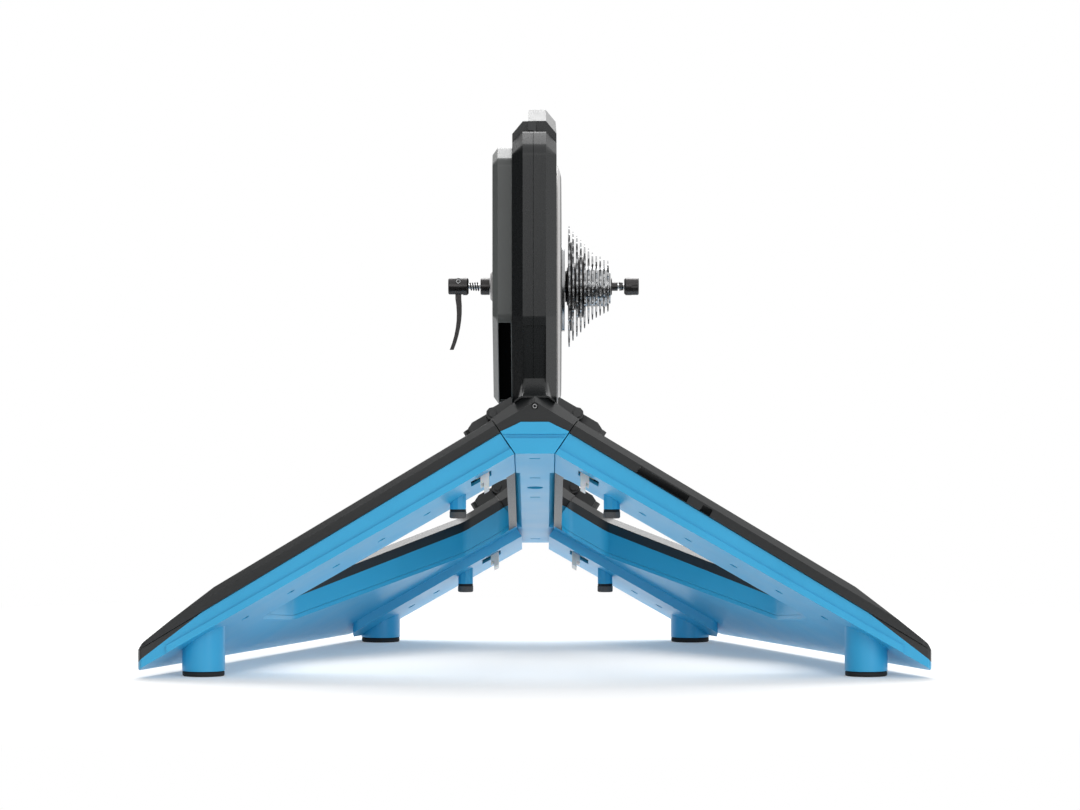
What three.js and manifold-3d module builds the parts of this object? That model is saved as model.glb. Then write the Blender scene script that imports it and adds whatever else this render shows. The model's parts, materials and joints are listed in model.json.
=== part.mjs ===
// Direct drive bike trainer: a slim motor housing on a cast spine, with a folding wing on each side,
// and a cassette on the motor's own axle in place of the bike's rear wheel.
// Millimetres. Z is up, +Y is the riding direction and +X is the drive side.
// The origin is on the floor, in the middle of the base.
// Inside the stand, Y is measured forward from the line of the rear feet.

import * as THREE from 'three';
import { mergeVertices } from 'three/addons/utils/BufferGeometryUtils.js';
import Module from 'manifold-3d';

const wasm = await Module();
wasm.setup();

// Clearances and finish of cuts
const gap = 0.3;
const overrun = 3;
const weldDistance = 0.0005;
const cornerShare = 0.48;

// Straight sides for each full turn of a round surface, and pieces of each rounded corner's arc
const wideSides = 32;
const motorSides = 24;
const roundSides = 16;
const smallSides = 10;
const collarSides = 12;
const tinySides = 6;
const cornerPieces = 2;

// Parting plane between the castings and their covers: its height at the line of the rear feet and at
// the front end, both on the centre line, and at the tips of the wings
const partingHeight = 241.7;
const frontPartingHeight = 141.19;
const tipPartingHeight = 16.7;
const castingDepth = 27.9;
const castingTipDepth = 17.6;
const coverDepth = 18;
const coverTipDepth = 3;

// Wing outline
const wingRear = 37.5;
const wingFront = 537.5;
const wingTipX = 375;
const wingShoulderInset = 72;
const wingShoulderX = wingTipX - wingShoulderInset;
const wingShoulderY = 176;
const wingToeX = 175;
const wingFlankOutset = 22;
const wingFlankX = wingToeX + wingFlankOutset;
const wingFlankInset = 36.5;
const wingFlankY = wingFront - wingFlankInset;
const wingRootX = 8;
const tipRadius = 10;
const toeRadius = 18;

// Slopes of the wings: fall for each millimetre outwards and forwards
const underHeight = partingHeight - castingDepth;
const topFall = (partingHeight - tipPartingHeight) / wingTipX;
const underFall = (underHeight - tipPartingHeight + castingTipDepth) / wingTipX;
const pitch = (partingHeight - frontPartingHeight) / wingFront;
const alongPitch = Math.hypot(1, pitch);

// Stance, with the origin in the middle of the base
const rearFootSetback = (wingFront - wingRear) / 2;
const rearFootInset = 63;
const rearFootX = wingTipX - rearFootInset;
const frontFootInset = 40.5;
const frontFootY = wingFront - frontFootInset;
const frontFootSide = 12;
const frontFootX = wingToeX - frontFootSide;
const footRadius = 20.25;
const footPadThickness = 5;
const footPadInset = 0.4;

// The deep beam across the front of each wing
const beamLength = 100.5;
const beamRearY = wingFront - beamLength;
const beamOutset = 15;
const beamEndX = wingToeX + beamOutset;
const beamDepth = 10.5;
const beamRadius = 6;

// Opening of the wing
const windowInnerX = 27;
const windowRearY = 70;
const windowTipInset = 111;
const windowTipX = wingTipX - windowTipInset;
const windowBendInset = 26;
const windowBendX = windowTipX - windowBendInset;
const windowBendY = 195;
const windowFrontX = 73;
const windowFrontInset = 17;
const windowFrontY = beamRearY - windowFrontInset;
const windowRadius = 13;
const windowBendRadius = 40;

// Wing casting and its cover
const wingWall = 4;
const wingFloor = 3;
const wingLowest = 7;
const faceStep = 2.5;
const ribDepth = 7;
const ribEndInset = 31;
const ribEndX = wingTipX - ribEndInset;
const coverWall = 3;
const coverSkin = 8;
const coverChamfer = 8;
const skirtWall = 3;
const flangeDepth = 4;
const tipChamferInset = 75;
const tipChamferX = wingTipX - tipChamferInset;
const tipFall = topFall + (coverDepth - coverTipDepth) / tipChamferInset;
const leastRadius = 1;
const floorHoleRadius = 4;
const rearHoleY = 20;
const rearHoleFirstX = 102;
const rearHoleFootGap = 38;
const rearHoleCount = 5;
const rearHolePitch = (rearFootX - rearHoleFootGap - rearHoleFirstX) / (rearHoleCount - 1);
const frontHoleFirstX = 104;
const frontHoleFootGap = 33;
const frontHoleCount = 2;
const frontHolePitch = (frontFootX - frontHoleFootGap - frontHoleFirstX) / (frontHoleCount - 1);

// Rest pegs under the wings, with the reach of each below the casting
const pegX = 73;
const pegRadius = 8;
const pegTipRadius = 8.4;
const pegTipHeight = 8.5;
const rearPegY = 36;
const rearPegReach = 18.3;
const rearPegBottom = underHeight - underFall * pegX - pitch * rearPegY - rearPegReach;
const frontPegInset = 73.5;
const frontPegY = wingFront - frontPegInset;
const frontPegReach = 20.7;
const frontPegBottom = underHeight - beamDepth - underFall * pegX - pitch * frontPegY - frontPegReach;

// Centre frame, in heights above or below the parting plane on the centre line
const hubDepth = 112;
const hubCrownX = 13;
const hubCrownDrop = 8.9;
const hubCrownZ = partingHeight - hubCrownDrop;
const hubBrowX = 20.6;
const hubBrowDrop = 12.7;
const hubBrowZ = partingHeight - hubBrowDrop;
const hubEdgeDrop = 22.2;
const hubEdgeZ = partingHeight - hubEdgeDrop;
const hubFloorDrop = 38.7;
const hubFloorZ = partingHeight - hubFloorDrop;
const hubCoverShoulderX = hubBrowX;
const hubCoverShoulderRise = 10.7;
const hubCoverShoulderZ = partingHeight + hubCoverShoulderRise;
const hubCoverTopX = hubCrownX;
const hubCoverTopRise = 16.3;
const hubCoverTopZ = partingHeight + hubCoverTopRise;
const hubGrooveTopDrop = 20.3;
const hubGrooveHeight = 3.8;
const hubGrooveDepth = 2.5;
const hubGrooveTopZ = partingHeight - hubGrooveTopDrop;
const spineHalf = 20;
const spineFlatHalf = 14;
const spineEdge = 6;
const spineTopZ = hubCrownZ;
const spineWall = 4;
const spineFloor = 4;
const spineHoleRadius = 7.8;
const spineSlotLength = 10;
const spineSlotWidth = 4;
const spineSlotSpacing = 60;
const hubSlotInset = 28;
const coverScrewDrop = 3.6;
const coverScrewZ = hubCoverTopZ - coverScrewDrop;
const coverScrewRadius = 3.4;
const coverScrewShank = 2;
const coverScrewHead = 2.6;
const coverScrewLength = 14;
const coverScrewRecess = 1.5;

// Joint line between the hubs and the wings, as seen from behind
const splitTopX = 41.5;
const splitTopDrop = 4.7;
const splitTopZ = partingHeight - splitTopDrop;
const splitBottomX = 18.7;
const splitBottomZ = hubFloorZ;
const splitGap = 0.9;

// Hinge of each wing
const hingeX = 40;
const hingeRise = 8.3;
const hingeHeight = partingHeight + hingeRise;
const hingePinRadius = 3;
const knuckleRadius = 6.2;
const knuckleLength = 17;
const pinHalf = 1.5 * knuckleLength;
const rearHingeAlong = 43;
const frontHingeInset = 50.9;
const frontHingeAlong = (wingFront - frontHingeInset) * alongPitch;
const strapReach = 20;
const strapTop = 5;
const strapStep = 10;
const hubStrapReach = 23;
const hubStrapRoot = 14;
const boltBossRadius = 5.5;
const boltBossTop = 2;
const boltReach = 26;
const pinHeadRadius = 4.2;
const pinHeadThickness = 2;

// Sliding latches that hold the wings open
const latchAcross = 9.5;
const latchAlong = 28;
const latchDrop = 12;
const latchStep = 4;
const latchTravel = 9.5;
const latchReach = 37.5;
const latchSlotClearance = 0.6;
const latchFootAcross = 15;
const latchFootThickness = 4;
const rearLatchAlong = 7;
const frontLatchInset = 61.7;
const frontLatchAlong = (wingFront - frontLatchInset) * alongPitch;

// Axle line
const axleY = 165;
const axleRise = 127.3;
const axleHeight = partingHeight + axleRise;
const axleRadius = 6;
const axleBore = 2.9;
const axleLeft = -44;

// Motor, from its rotor inwards
const rotorRadius = 103;
const rotorClearance = 5;
const cavityRadius = rotorRadius + rotorClearance;
const rimThickness = 10;
const rimBore = rotorRadius - rimThickness;
const magnetThickness = 3;
const magnetRadius = rimBore - magnetThickness;
const airGap = 2;
const statorRadius = magnetRadius - airGap;
const toothTipDepth = 8;
const statorSlotRadius = statorRadius - toothTipDepth;
const windingDepth = 24;
const statorYokeRadius = statorSlotRadius - windingDepth;
const yokeDepth = 14;
const statorBore = statorYokeRadius - yokeDepth;
const statorTeeth = 12;
const statorLeft = -13;
const statorRight = 6.5;
const toothTipShare = 0.8;
const toothBodyShare = 0.62;
const mountLap = 6;
const statorMountRadius = statorYokeRadius + mountLap;
const magnetCount = 14;
const magnetWidthShare = 0.72;
const rotorLeft = -14;
const rotorWeb = 10;
const rotorRight = 15;
const rotorHubRadius = 20;
const rotorWindowRadius = 14;
const rotorWindowOffset = 58;
const rotorWindowCount = 5;
const bearingOuter = 14;
const bearingWidth = 8;
const leftBearingX = -12;
const rightBearingX = 6;
const bearingGroove = 1.2;
const flangeRadius = 44;
const flangeThickness = 3;
const flangeGap = 0.4;
const flangeHoleRadius = 2.2;
const flangeHoleInset = 7;
const flangeHoleOffset = flangeRadius - flangeHoleInset;
const flangeHoleCount = 12;
const boardX = -31;
const boardThickness = 1.6;
const boardOuter = 60;
const boardInner = 22;
const chipCount = 4;
const chipSize = 9;
const chipHeight = 3;
const boardPillars = 4;
const boardPillarRadius = 3;

// Motor covers, with heights above and below the axle
const leftCoverX = -40.5;
const leftCoverRearY = 40;
const leftCoverWaistDrop = 33;
const leftCoverRearTopRise = 118;
const leftCoverRoofY = 66;
const leftCoverRoofRise = 131;
const leftCoverPeakY = 236;
const leftCoverPeakRise = 138;
const leftCoverFrontTopY = 320;
const leftCoverFrontTopRise = 111;
const leftCoverFrontY = 346;
const leftCoverFrontMidRise = 61;
const leftCoverFrontLowDrop = 31;
const leftCoverToeY = 275;
const leftCoverToeDrop = 117;
const leftCoverHeelY = 168;
const leftCoverHeelDrop = 115;
const leftCoverEdgeInset = 7;
const leftCoverEdgeDepth = 5;
const leftCoverPocketRadius = 76;
const leftBossRadius = 16;
const leftBossFace = 12.5;
const leftBossProud = 3.2;
const rightCoverX = 25.5;
const rightCoverLap = 10;
const rightCoverRadius = cavityRadius + rightCoverLap;
const rightCoverEdge = 3;
const rightCoverBevel = 10;
const rightCoverBore = 24;

// Motor housing, side outline, with heights above and below the axle
const housingLeft = -21.5;
const housingRight = 20.5;
const seamX = -1.5;
const housingRearY = -2;
const housingFootY = 12;
const housingWaistDrop = 31;
const housingRearTopRise = 128;
const roofRearY = 22;
const roofRearRise = 145;
const roofStepY = 30;
const roofStep = 9;
const roofPeakY = 268;
const roofPeakRise = 178.5;
const leftRoofDrop = 11;
const roofFrontY = 338;
const roofFrontRise = 158;
const housingFrontY = 378;
const housingFrontTopRise = 101;
const housingFrontLowDrop = 47;
const housingEdgeInset = 12;
const housingEdgeDepth = 10;
const housingCornerRadius = 14;
const coverCornerRadius = 10;
const housingWall = 3;
const roofRibLeft = -6.5;
const roofRibRight = 1;
const heelRecessDepth = 3;
const heelRecessEnd = 8;
const saddleX = 25.5;
const saddleClearance = 18.7;
const saddleLap = 16;
const saddleRearY = 92;

// Cassette
const cogTeeth = [28, 25, 23, 21, 19, 17, 15, 14, 13, 12, 11];
const chainPitch = 12.7;
const toothHeight = 2.7;
const toothDepth = 3.8;
const toothFootShare = 0.7;
const cogPitch = 3.79;
const cogThickness = 1.8;
const firstCogX = 33.3;
const splineRadius = 17;
const splineDepth = 1.3;
const splineCount = 9;
const splineShare = 0.55;
const splineSlack = 0.3;
const cogBossRadius = 19.8;
const freehubStart = 29.4;
const freehubEnd = firstCogX + (cogTeeth.length - 1) * cogPitch + cogThickness / 2;
const axleProud = 1.3;
const axleRight = freehubEnd + axleProud;
const freehubNeckRadius = 15.3;
const freehubShoulder = 1;
const freehubShoulderRadius = 18.6;
const freehubBore = 6.3;
const ringCogBores = [39, 35];
const cogWindowShare = 0.7;
const cogWindowCount = 5;
const cogWindowLeast = 21;
const carrierArms = 5;
const carrierArmShare = 0.5;
const carrierNeckShare = 0.45;
const carrierReach = 44;
const carrierHub = 23;
const lockringLength = 1.5;
const lockringRadius = 17;
const lockringBore = 9;
const lockringNotches = 8;
const lockringNotchDepth = 2;
const lockringNotchShare = 0.4;

// Axle ends and quick release
const leftCapLength = 9;
const leftCapRadius = 8.3;
const capChamfer = 0.8;
const rightCapFlange = 1.5;
const rightCapRadius = 8.4;
const rightCapNose = 5.6;
const rightCapNoseRadius = 4.3;
const skewerRadius = 2.45;
const skewerSlack = 0.4;
const leftCapFace = axleLeft - gap - leftCapLength;
const rightCapFace = axleRight + gap + rightCapFlange + rightCapNose;
const leftDropoutRoom = 11.6;
const rightDropoutRoom = 6.3;
const nutStart = rightCapFace + rightDropoutRoom;
const nutLength = 14.3;
const nutRadius = 8.6;
const nutChamfer = 1.6;
const nutGrip = 9.5;
const nutFluteCount = 4;
const nutFluteRadius = 2.2;
const headInner = leftCapFace - leftDropoutRoom;
const headLength = 19.9;
const headOuter = headInner - headLength;
const headRadius = 8.6;
const headSlotWidth = 7;
const headNeck = 5.5;
const headSlotFloor = headInner - headNeck;
const camInset = 4.6;
const camX = headSlotFloor - camInset;
const camRise = 5;
const camEye = 3.4;
const camPinRadius = 2.4;
const leverThickness = 6;
const leverNeckLength = 17;
const leverBladeLength = 50;
const leverNeckHalf = 2.9;
const leverTipHalf = 1.9;
const leverOutset = 6.5;
const camPinProud = 0.8;
const leverBow = 3.5;
const leverPieces = 7;
const springWire = 0.55;
const springClearance = 0.8;
const springWideRadius = 4.1;
const springNarrowRadius = 3.4;
const springSides = 4;
const springSteps = 6;
const leftSpringTurns = 4;
const rightSpringTurns = 3;

// Colours
const colours = {
  blue: 0x3fb0e4,
  plastic: 0x2e3032,
  cover: 0x34373a,
  rubber: 0x1a1b1c,
  steel: 0xb9bbbc,
  darkSteel: 0x2a2725,
  nylon: 0xd8d9d8,
  copper: 0xa8623a,
  board: 0x1e5a38,
};

function material(colour, roughness, metalness) {
  return new THREE.MeshStandardMaterial({ color: colour, roughness, metalness });
}

const paint = material(colours.blue, 0.32, 0.1);
const shellPlastic = material(colours.plastic, 0.42, 0);
const coverPlastic = material(colours.cover, 0.5, 0);
const rubber = material(colours.rubber, 0.9, 0);
const steel = material(colours.steel, 0.28, 1);
const darkSteel = material(colours.darkSteel, 0.4, 0.8);
const nylon = material(colours.nylon, 0.45, 0);
const copper = material(colours.copper, 0.45, 0.7);
const boardGreen = material(colours.board, 0.5, 0);

// Solids and geometry

function enclosedVolume(position, index) {
  const a = new THREE.Vector3();
  const b = new THREE.Vector3();
  const c = new THREE.Vector3();
  let sum = 0;
  for (let i = 0; i < index.count; i += 3) {
    a.fromBufferAttribute(position, index.getX(i));
    b.fromBufferAttribute(position, index.getX(i + 1));
    c.fromBufferAttribute(position, index.getX(i + 2));
    sum += a.dot(b.cross(c));
  }
  return sum;
}

function solid(geometry) {
  const bare = geometry.clone();
  bare.deleteAttribute('normal');
  bare.deleteAttribute('uv');
  const merged = mergeVertices(bare, weldDistance);
  const triVerts = Uint32Array.from(merged.index.array);
  if (enclosedVolume(merged.attributes.position, merged.index) < 0) triVerts.reverse();
  const vertProperties = Float32Array.from(merged.attributes.position.array);
  return new wasm.Manifold(new wasm.Mesh({ numProp: 3, vertProperties, triVerts }));
}

function geometryOf(made) {
  const mesh = made.getMesh();
  const geometry = new THREE.BufferGeometry();
  geometry.setAttribute('position', new THREE.BufferAttribute(mesh.vertProperties, 3));
  geometry.setIndex(new THREE.BufferAttribute(mesh.triVerts, 1));
  const faceted = geometry.toNonIndexed();
  faceted.computeVertexNormals();
  return faceted;
}

function piece(name, made, look, parent) {
  const mesh = new THREE.Mesh(geometryOf(made), look);
  mesh.name = name;
  parent.add(mesh);
  return mesh;
}

function joined(solids) {
  return solids.reduce((whole, part) => whole.add(part));
}

// A closed outline whose corners are rounded by arcs.
function roundedPath(corners, radii, path) {
  const count = corners.length;
  const radiusAt = (i) => (Array.isArray(radii) ? radii[i] : radii);
  for (let i = 0; i < count; i++) {
    const corner = new THREE.Vector2(...corners[i]);
    const before = new THREE.Vector2(...corners[(i + count - 1) % count]).sub(corner);
    const after = new THREE.Vector2(...corners[(i + 1) % count]).sub(corner);
    const half = Math.abs(Math.atan2(before.cross(after), before.dot(after))) / 2;
    const longest = cornerShare * Math.min(before.length(), after.length());
    const reach = Math.min(radiusAt(i) / Math.tan(half), longest);
    const radius = reach * Math.tan(half);
    const start = before.clone().setLength(reach).add(corner);
    const end = after.clone().setLength(reach).add(corner);
    if (i === 0) path.moveTo(start.x, start.y);
    else path.lineTo(start.x, start.y);
    if (radius > 0) {
      const middle = before.clone().normalize().add(after.clone().normalize());
      const centre = middle.setLength(radius / Math.sin(half)).add(corner);
      const from = start.clone().sub(centre).angle();
      const to = end.clone().sub(centre).angle();
      path.absarc(centre.x, centre.y, radius, from, to, before.cross(after) > 0);
    }
  }
  path.closePath();
  return path;
}

function roundedShape(corners, radii) {
  return roundedPath(corners, radii, new THREE.Shape());
}

// The corners of an outline moved inwards by a distance, or outwards by a negative one.
function inset(corners, distance) {
  const count = corners.length;
  const area = corners.reduce((sum, [x, y], i) => {
    const [nextX, nextY] = corners[(i + 1) % count];
    return sum + x * nextY - nextX * y;
  }, 0);
  const side = area > 0 ? distance : -distance;
  return corners.map((point, i) => {
    const corner = new THREE.Vector2(...point);
    const into = corner.clone().sub(new THREE.Vector2(...corners[(i + count - 1) % count])).normalize();
    const out = new THREE.Vector2(...corners[(i + 1) % count]).sub(corner).normalize();
    const shift = new THREE.Vector2(-into.y - out.y, into.x + out.x);
    const scale = side / (1 + into.dot(out));
    return [corner.x + shift.x * scale, corner.y + shift.y * scale];
  });
}

function prism(shape, bottom, top, curveSegments = cornerPieces) {
  const settings = { depth: top - bottom, bevelEnabled: false, curveSegments };
  return solid(new THREE.ExtrudeGeometry(shape, settings).translate(0, 0, bottom));
}

// A side outline in Y and Z, extruded along X.
const alongX = new THREE.Matrix4().makeBasis(
  new THREE.Vector3(0, 1, 0),
  new THREE.Vector3(0, 0, 1),
  new THREE.Vector3(1, 0, 0),
);
// A rear outline in X and Z, extruded along Y.
const alongY = new THREE.Matrix4().makeBasis(
  new THREE.Vector3(1, 0, 0),
  new THREE.Vector3(0, 0, 1),
  new THREE.Vector3(0, -1, 0),
);

function sidePrism(shape, left, right, curveSegments = cornerPieces) {
  const settings = { depth: right - left, bevelEnabled: false, curveSegments };
  const geometry = new THREE.ExtrudeGeometry(shape, settings).translate(0, 0, left);
  return solid(geometry.applyMatrix4(alongX));
}

// A side outline whose left and right edges are chamfered.
function bevelledSidePrism(corners, radius, left, right, edgeInset, edgeDepth) {
  const settings = {
    depth: right - left - 2 * edgeDepth,
    bevelEnabled: true,
    bevelThickness: edgeDepth,
    bevelSize: edgeInset,
    bevelOffset: -edgeInset,
    bevelSegments: 1,
    curveSegments: cornerPieces,
  };
  const geometry = new THREE.ExtrudeGeometry(roundedShape(corners, radius), settings);
  return solid(geometry.translate(0, 0, left + edgeDepth).applyMatrix4(alongX));
}

function rearPrism(shape, rear, front) {
  const settings = { depth: front - rear, bevelEnabled: false, curveSegments: cornerPieces };
  const geometry = new THREE.ExtrudeGeometry(shape, settings).translate(0, 0, -front);
  return solid(geometry.applyMatrix4(alongY));
}

function box(fromX, toX, fromY, toY, fromZ, toZ) {
  const geometry = new THREE.BoxGeometry(toX - fromX, toY - fromY, toZ - fromZ);
  return solid(geometry.translate((fromX + toX) / 2, (fromY + toY) / 2, (fromZ + toZ) / 2));
}

function upright(x, y, radius, bottom, top, segments = smallSides) {
  const geometry = new THREE.CylinderGeometry(radius, radius, top - bottom, segments);
  return solid(geometry.rotateX(Math.PI / 2).translate(x, y, (bottom + top) / 2));
}

// A ring or disc turned about X, from a profile of [radius, x] that is closed.
function turned(profile, segments = roundSides) {
  const points = profile.map(([radius, x]) => new THREE.Vector2(radius, x));
  points.push(points[0].clone());
  return solid(new THREE.LatheGeometry(points, segments).rotateZ(-Math.PI / 2));
}

function collar(inner, outer, left, right, segments = roundSides) {
  return turned([[inner, left], [outer, left], [outer, right], [inner, right]], segments);
}

function rod(radius, left, right, segments = roundSides) {
  const geometry = new THREE.CylinderGeometry(radius, radius, right - left, segments);
  return solid(geometry.rotateZ(-Math.PI / 2).translate((left + right) / 2, 0, 0));
}

// A rod along X at a distance from the axle, turned to an angle about it.
function satelliteRod(radius, offset, angle, left, right, segments = tinySides) {
  const geometry = new THREE.CylinderGeometry(radius, radius, right - left, segments);
  geometry.rotateZ(-Math.PI / 2).translate((left + right) / 2, offset, 0);
  return solid(geometry.rotateX(angle));
}

// The height of a plane that falls outwards and forwards from the centre line.
function sheared(made, height, fall) {
  const shear = new THREE.Matrix4().set(1, 0, 0, 0, 0, 1, 0, 0, -fall, -pitch, 1, height, 0, 0, 0, 1);
  return solid(geometryOf(made).applyMatrix4(shear));
}

function keepAbove(made, height, fall) {
  const normal = new THREE.Vector3(fall, pitch, 1);
  const length = normal.length();
  normal.normalize();
  return made.trimByPlane(normal.toArray(), height / length);
}

function keepBelow(made, height, fall) {
  const normal = new THREE.Vector3(fall, pitch, 1);
  const length = normal.length();
  normal.normalize().negate();
  return made.trimByPlane(normal.toArray(), -height / length);
}

// The frame of a wing's hinge: outwards along the slope, forwards along the pin, and up from the slope.
const pinDirection = new THREE.Vector3(0, 1, -pitch).normalize();
const slopeNormal = new THREE.Vector3(topFall, pitch, 1).normalize();
const outwards = new THREE.Vector3().crossVectors(pinDirection, slopeNormal);
const hingeMatrix = new THREE.Matrix4().makeBasis(outwards, pinDirection, slopeNormal);
hingeMatrix.setPosition(hingeX, 0, hingeHeight);

function hingePlaced(made) {
  return solid(geometryOf(made).applyMatrix4(hingeMatrix));
}

// How far a sloping plane lies above the pin's level, at a distance outwards from the pin.
function riseAt(outset, height, fall) {
  const planeNormal = new THREE.Vector3(fall, pitch, 1);
  const start = new THREE.Vector3(hingeX, 0, hingeHeight).addScaledVector(outwards, outset);
  return (height - planeNormal.dot(start)) / planeNormal.dot(slopeNormal);
}

// The joint faces between hub and wing.
const splitAcross = new THREE.Vector3(splitTopX - splitBottomX, 0, splitTopZ - splitBottomZ);
const splitNormal = new THREE.Vector3().crossVectors(pinDirection, splitAcross).normalize();
const splitOffset = splitNormal.dot(new THREE.Vector3(splitTopX, 0, splitTopZ));

// The part of a wing solid that lies outside the joint face, and a wall's thickness beyond it.
function behindSplit(made, wall) {
  return made.trimByPlane(splitNormal.toArray(), splitOffset + splitGap / 2 + wall);
}

// The part of a hub solid that lies between the two joint faces.
function betweenSplits(made) {
  const right = splitNormal.clone().negate();
  const left = new THREE.Vector3(-right.x, right.y, right.z);
  const offset = -(splitOffset - splitGap / 2);
  return made.trimByPlane(right.toArray(), offset).trimByPlane(left.toArray(), offset);
}

const stand = new THREE.Group();
stand.position.y = -rearFootSetback;

// Wings

const wingCorners = [
  [wingRootX, -wingRear],
  [wingTipX, -wingRear],
  [wingShoulderX, wingShoulderY],
  [wingFlankX, wingFlankY],
  [wingToeX, wingFront],
  [wingRootX, wingFront],
];
const wingRadii = [0, tipRadius, 0, 0, toeRadius, 0];
const windowCorners = [
  [windowInnerX, windowRearY],
  [windowTipX, windowRearY],
  [windowBendX, windowBendY],
  [windowFrontX, windowFrontY],
  [windowInnerX, windowFrontY],
];
const windowRadii = [windowRadius, windowRadius, windowBendRadius, windowRadius, windowRadius];

function grownRadii(radii, growth) {
  return radii.map((radius) => (radius > 0 ? Math.max(radius + growth, leastRadius) : 0));
}

function windowShape(growth) {
  return roundedShape(inset(windowCorners, -growth), grownRadii(windowRadii, growth));
}

// The room inside the outer wall, with plain corners, and clear of the opening's lining
function roomShape(wall, windowGrowth) {
  const shape = roundedShape(inset(wingCorners, wall), 0);
  const hole = roundedPath(
    inset(windowCorners, -windowGrowth),
    [0, 0, windowBendRadius + windowGrowth, 0, 0],
    new THREE.Path(),
  );
  shape.holes.push(hole);
  return shape;
}

function wingShape(wall, windowGrowth) {
  const shape = roundedShape(inset(wingCorners, wall), grownRadii(wingRadii, -wall));
  const hole = roundedPath(
    inset(windowCorners, -windowGrowth),
    grownRadii(windowRadii, windowGrowth),
    new THREE.Path(),
  );
  shape.holes.push(hole);
  return shape;
}

const deepest = underHeight;
const partingTop = overrun;

function slab(shape, bottom, top) {
  return sheared(prism(shape, bottom, top), partingHeight, topFall);
}

function beamShape(wall) {
  const corners = [
    [wingRootX, beamRearY],
    [beamEndX, beamRearY],
    [beamEndX, wingFront - beamRadius],
    [wingRootX, wingFront - beamRadius],
  ];
  return roundedShape(inset(corners, wall), [0, beamRadius, beamRadius, 0]);
}

function footColumn(x, y) {
  const column = upright(x, y, footRadius, footPadThickness, partingHeight, roundSides);
  return keepBelow(column, underHeight + wingFloor, underFall);
}

function peg(y, bottom) {
  const column = upright(pegX, y, pegRadius, bottom + pegTipHeight + gap, partingHeight);
  return keepBelow(column, underHeight + wingFloor, underFall);
}

// How far a point on an upright edge moves outwards for each millimetre that it lies lower on the slope
const latchLean = slopeNormal.x / outwards.x;

function latchSlot(along) {
  const from = latchReach - latchAcross / 2 - latchSlotClearance - latchLean * wingFloor;
  const to = latchReach + latchAcross / 2 + latchTravel + latchSlotClearance;
  const half = latchAlong / 2 + latchSlotClearance;
  const floor = riseAt(latchReach, underHeight, underFall);
  const lowest = floor - beamDepth - overrun;
  return hingePlaced(box(from, to, along - half, along + half, lowest, floor + wingFloor + overrun));
}

function floorHoles() {
  const holes = [];
  const middleFront = (beamRearY + wingFront) / 2;
  for (let i = 0; i < rearHoleCount; i++) {
    const x = rearHoleFirstX + i * rearHolePitch;
    holes.push(upright(x, rearHoleY, floorHoleRadius, 0, partingHeight, tinySides));
  }
  for (let i = 0; i < frontHoleCount; i++) {
    const x = frontHoleFirstX + i * frontHolePitch;
    holes.push(upright(x, middleFront, floorHoleRadius, 0, partingHeight, tinySides));
  }
  return holes.map((hole) => keepBelow(hole, underHeight + wingFloor + overrun, underFall));
}

function wingCasting() {
  // The plate, open on top as a tray under its cover
  let plate = keepAbove(slab(wingShape(0, 0), -deepest, 0), underHeight, underFall);
  const pocket = slab(roomShape(wingWall, skirtWall + gap + wingWall), -deepest, partingTop);
  plate = plate.subtract(behindSplit(keepAbove(pocket, underHeight + wingFloor, underFall), wingWall));
  const skirtRoom = slab(windowShape(skirtWall + gap), -deepest, partingTop);
  plate = plate.subtract(keepAbove(skirtRoom, underHeight + flangeDepth, underFall));
  // The rear face steps in above the rib, and all the way beyond its end
  const stepFront = -wingRear + faceStep;
  const step = box(0, ribEndX, -wingRear - overrun, stepFront, 0, partingHeight);
  plate = plate.subtract(keepAbove(step, underHeight + ribDepth, underFall));
  plate = plate.subtract(box(ribEndX, wingTipX + overrun, -wingRear - overrun, stepFront, 0, partingHeight));
  // The deep box beam of the front arm
  const beamHeight = underHeight - beamDepth;
  let beam = prism(beamShape(0), 0, partingHeight);
  beam = keepBelow(keepAbove(beam, beamHeight, underFall), underHeight + wingFloor, underFall);
  let beamPocket = prism(beamShape(wingWall), 0, partingHeight);
  beamPocket = keepAbove(beamPocket, beamHeight + wingFloor, underFall);
  beamPocket = keepBelow(beamPocket, underHeight + wingFloor + overrun, underFall);
  beamPocket = behindSplit(beamPocket, wingWall).trimByPlane([0, 0, 1], wingLowest + wingFloor);
  plate = plate.add(beam).subtract(beamPocket).trimByPlane([0, 0, 1], wingLowest);
  plate = joined([
    plate,
    footColumn(rearFootX, 0),
    footColumn(frontFootX, frontFootY),
    peg(rearPegY, rearPegBottom),
    peg(frontPegY, frontPegBottom),
  ]);
  for (const cut of [...floorHoles(), latchSlot(rearLatchAlong), latchSlot(frontLatchAlong)]) {
    plate = plate.subtract(cut);
  }
  return behindSplit(plate, 0);
}

function wingCover() {
  const settings = {
    depth: 2 * coverDepth - 2 * coverChamfer,
    bevelEnabled: true,
    bevelThickness: coverChamfer,
    bevelSize: coverChamfer,
    bevelOffset: -coverChamfer,
    bevelSegments: 1,
    curveSegments: cornerPieces,
  };
  const bevelled = new THREE.ExtrudeGeometry(wingShape(0, 0), settings);
  let lid = solid(bevelled.translate(0, 0, coverChamfer - coverDepth));
  lid = sheared(lid.trimByPlane([0, 0, 1], gap), partingHeight, topFall);
  const tipHeight = partingHeight + coverDepth + (tipFall - topFall) * tipChamferX;
  const room = slab(roomShape(coverWall, skirtWall), 0, coverDepth - coverSkin);
  lid = lid.subtract(behindSplit(keepBelow(room, tipHeight - coverSkin, tipFall), coverWall));
  // The skirt that lines the opening
  const skirt = slab(windowShape(skirtWall), -deepest, coverDepth - coverSkin);
  const lining = skirt.subtract(slab(windowShape(0), -deepest - overrun, coverDepth));
  lid = lid.add(keepAbove(lining, underHeight + flangeDepth + gap, underFall));
  return behindSplit(keepBelow(lid, tipHeight, tipFall), 0);
}

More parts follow.
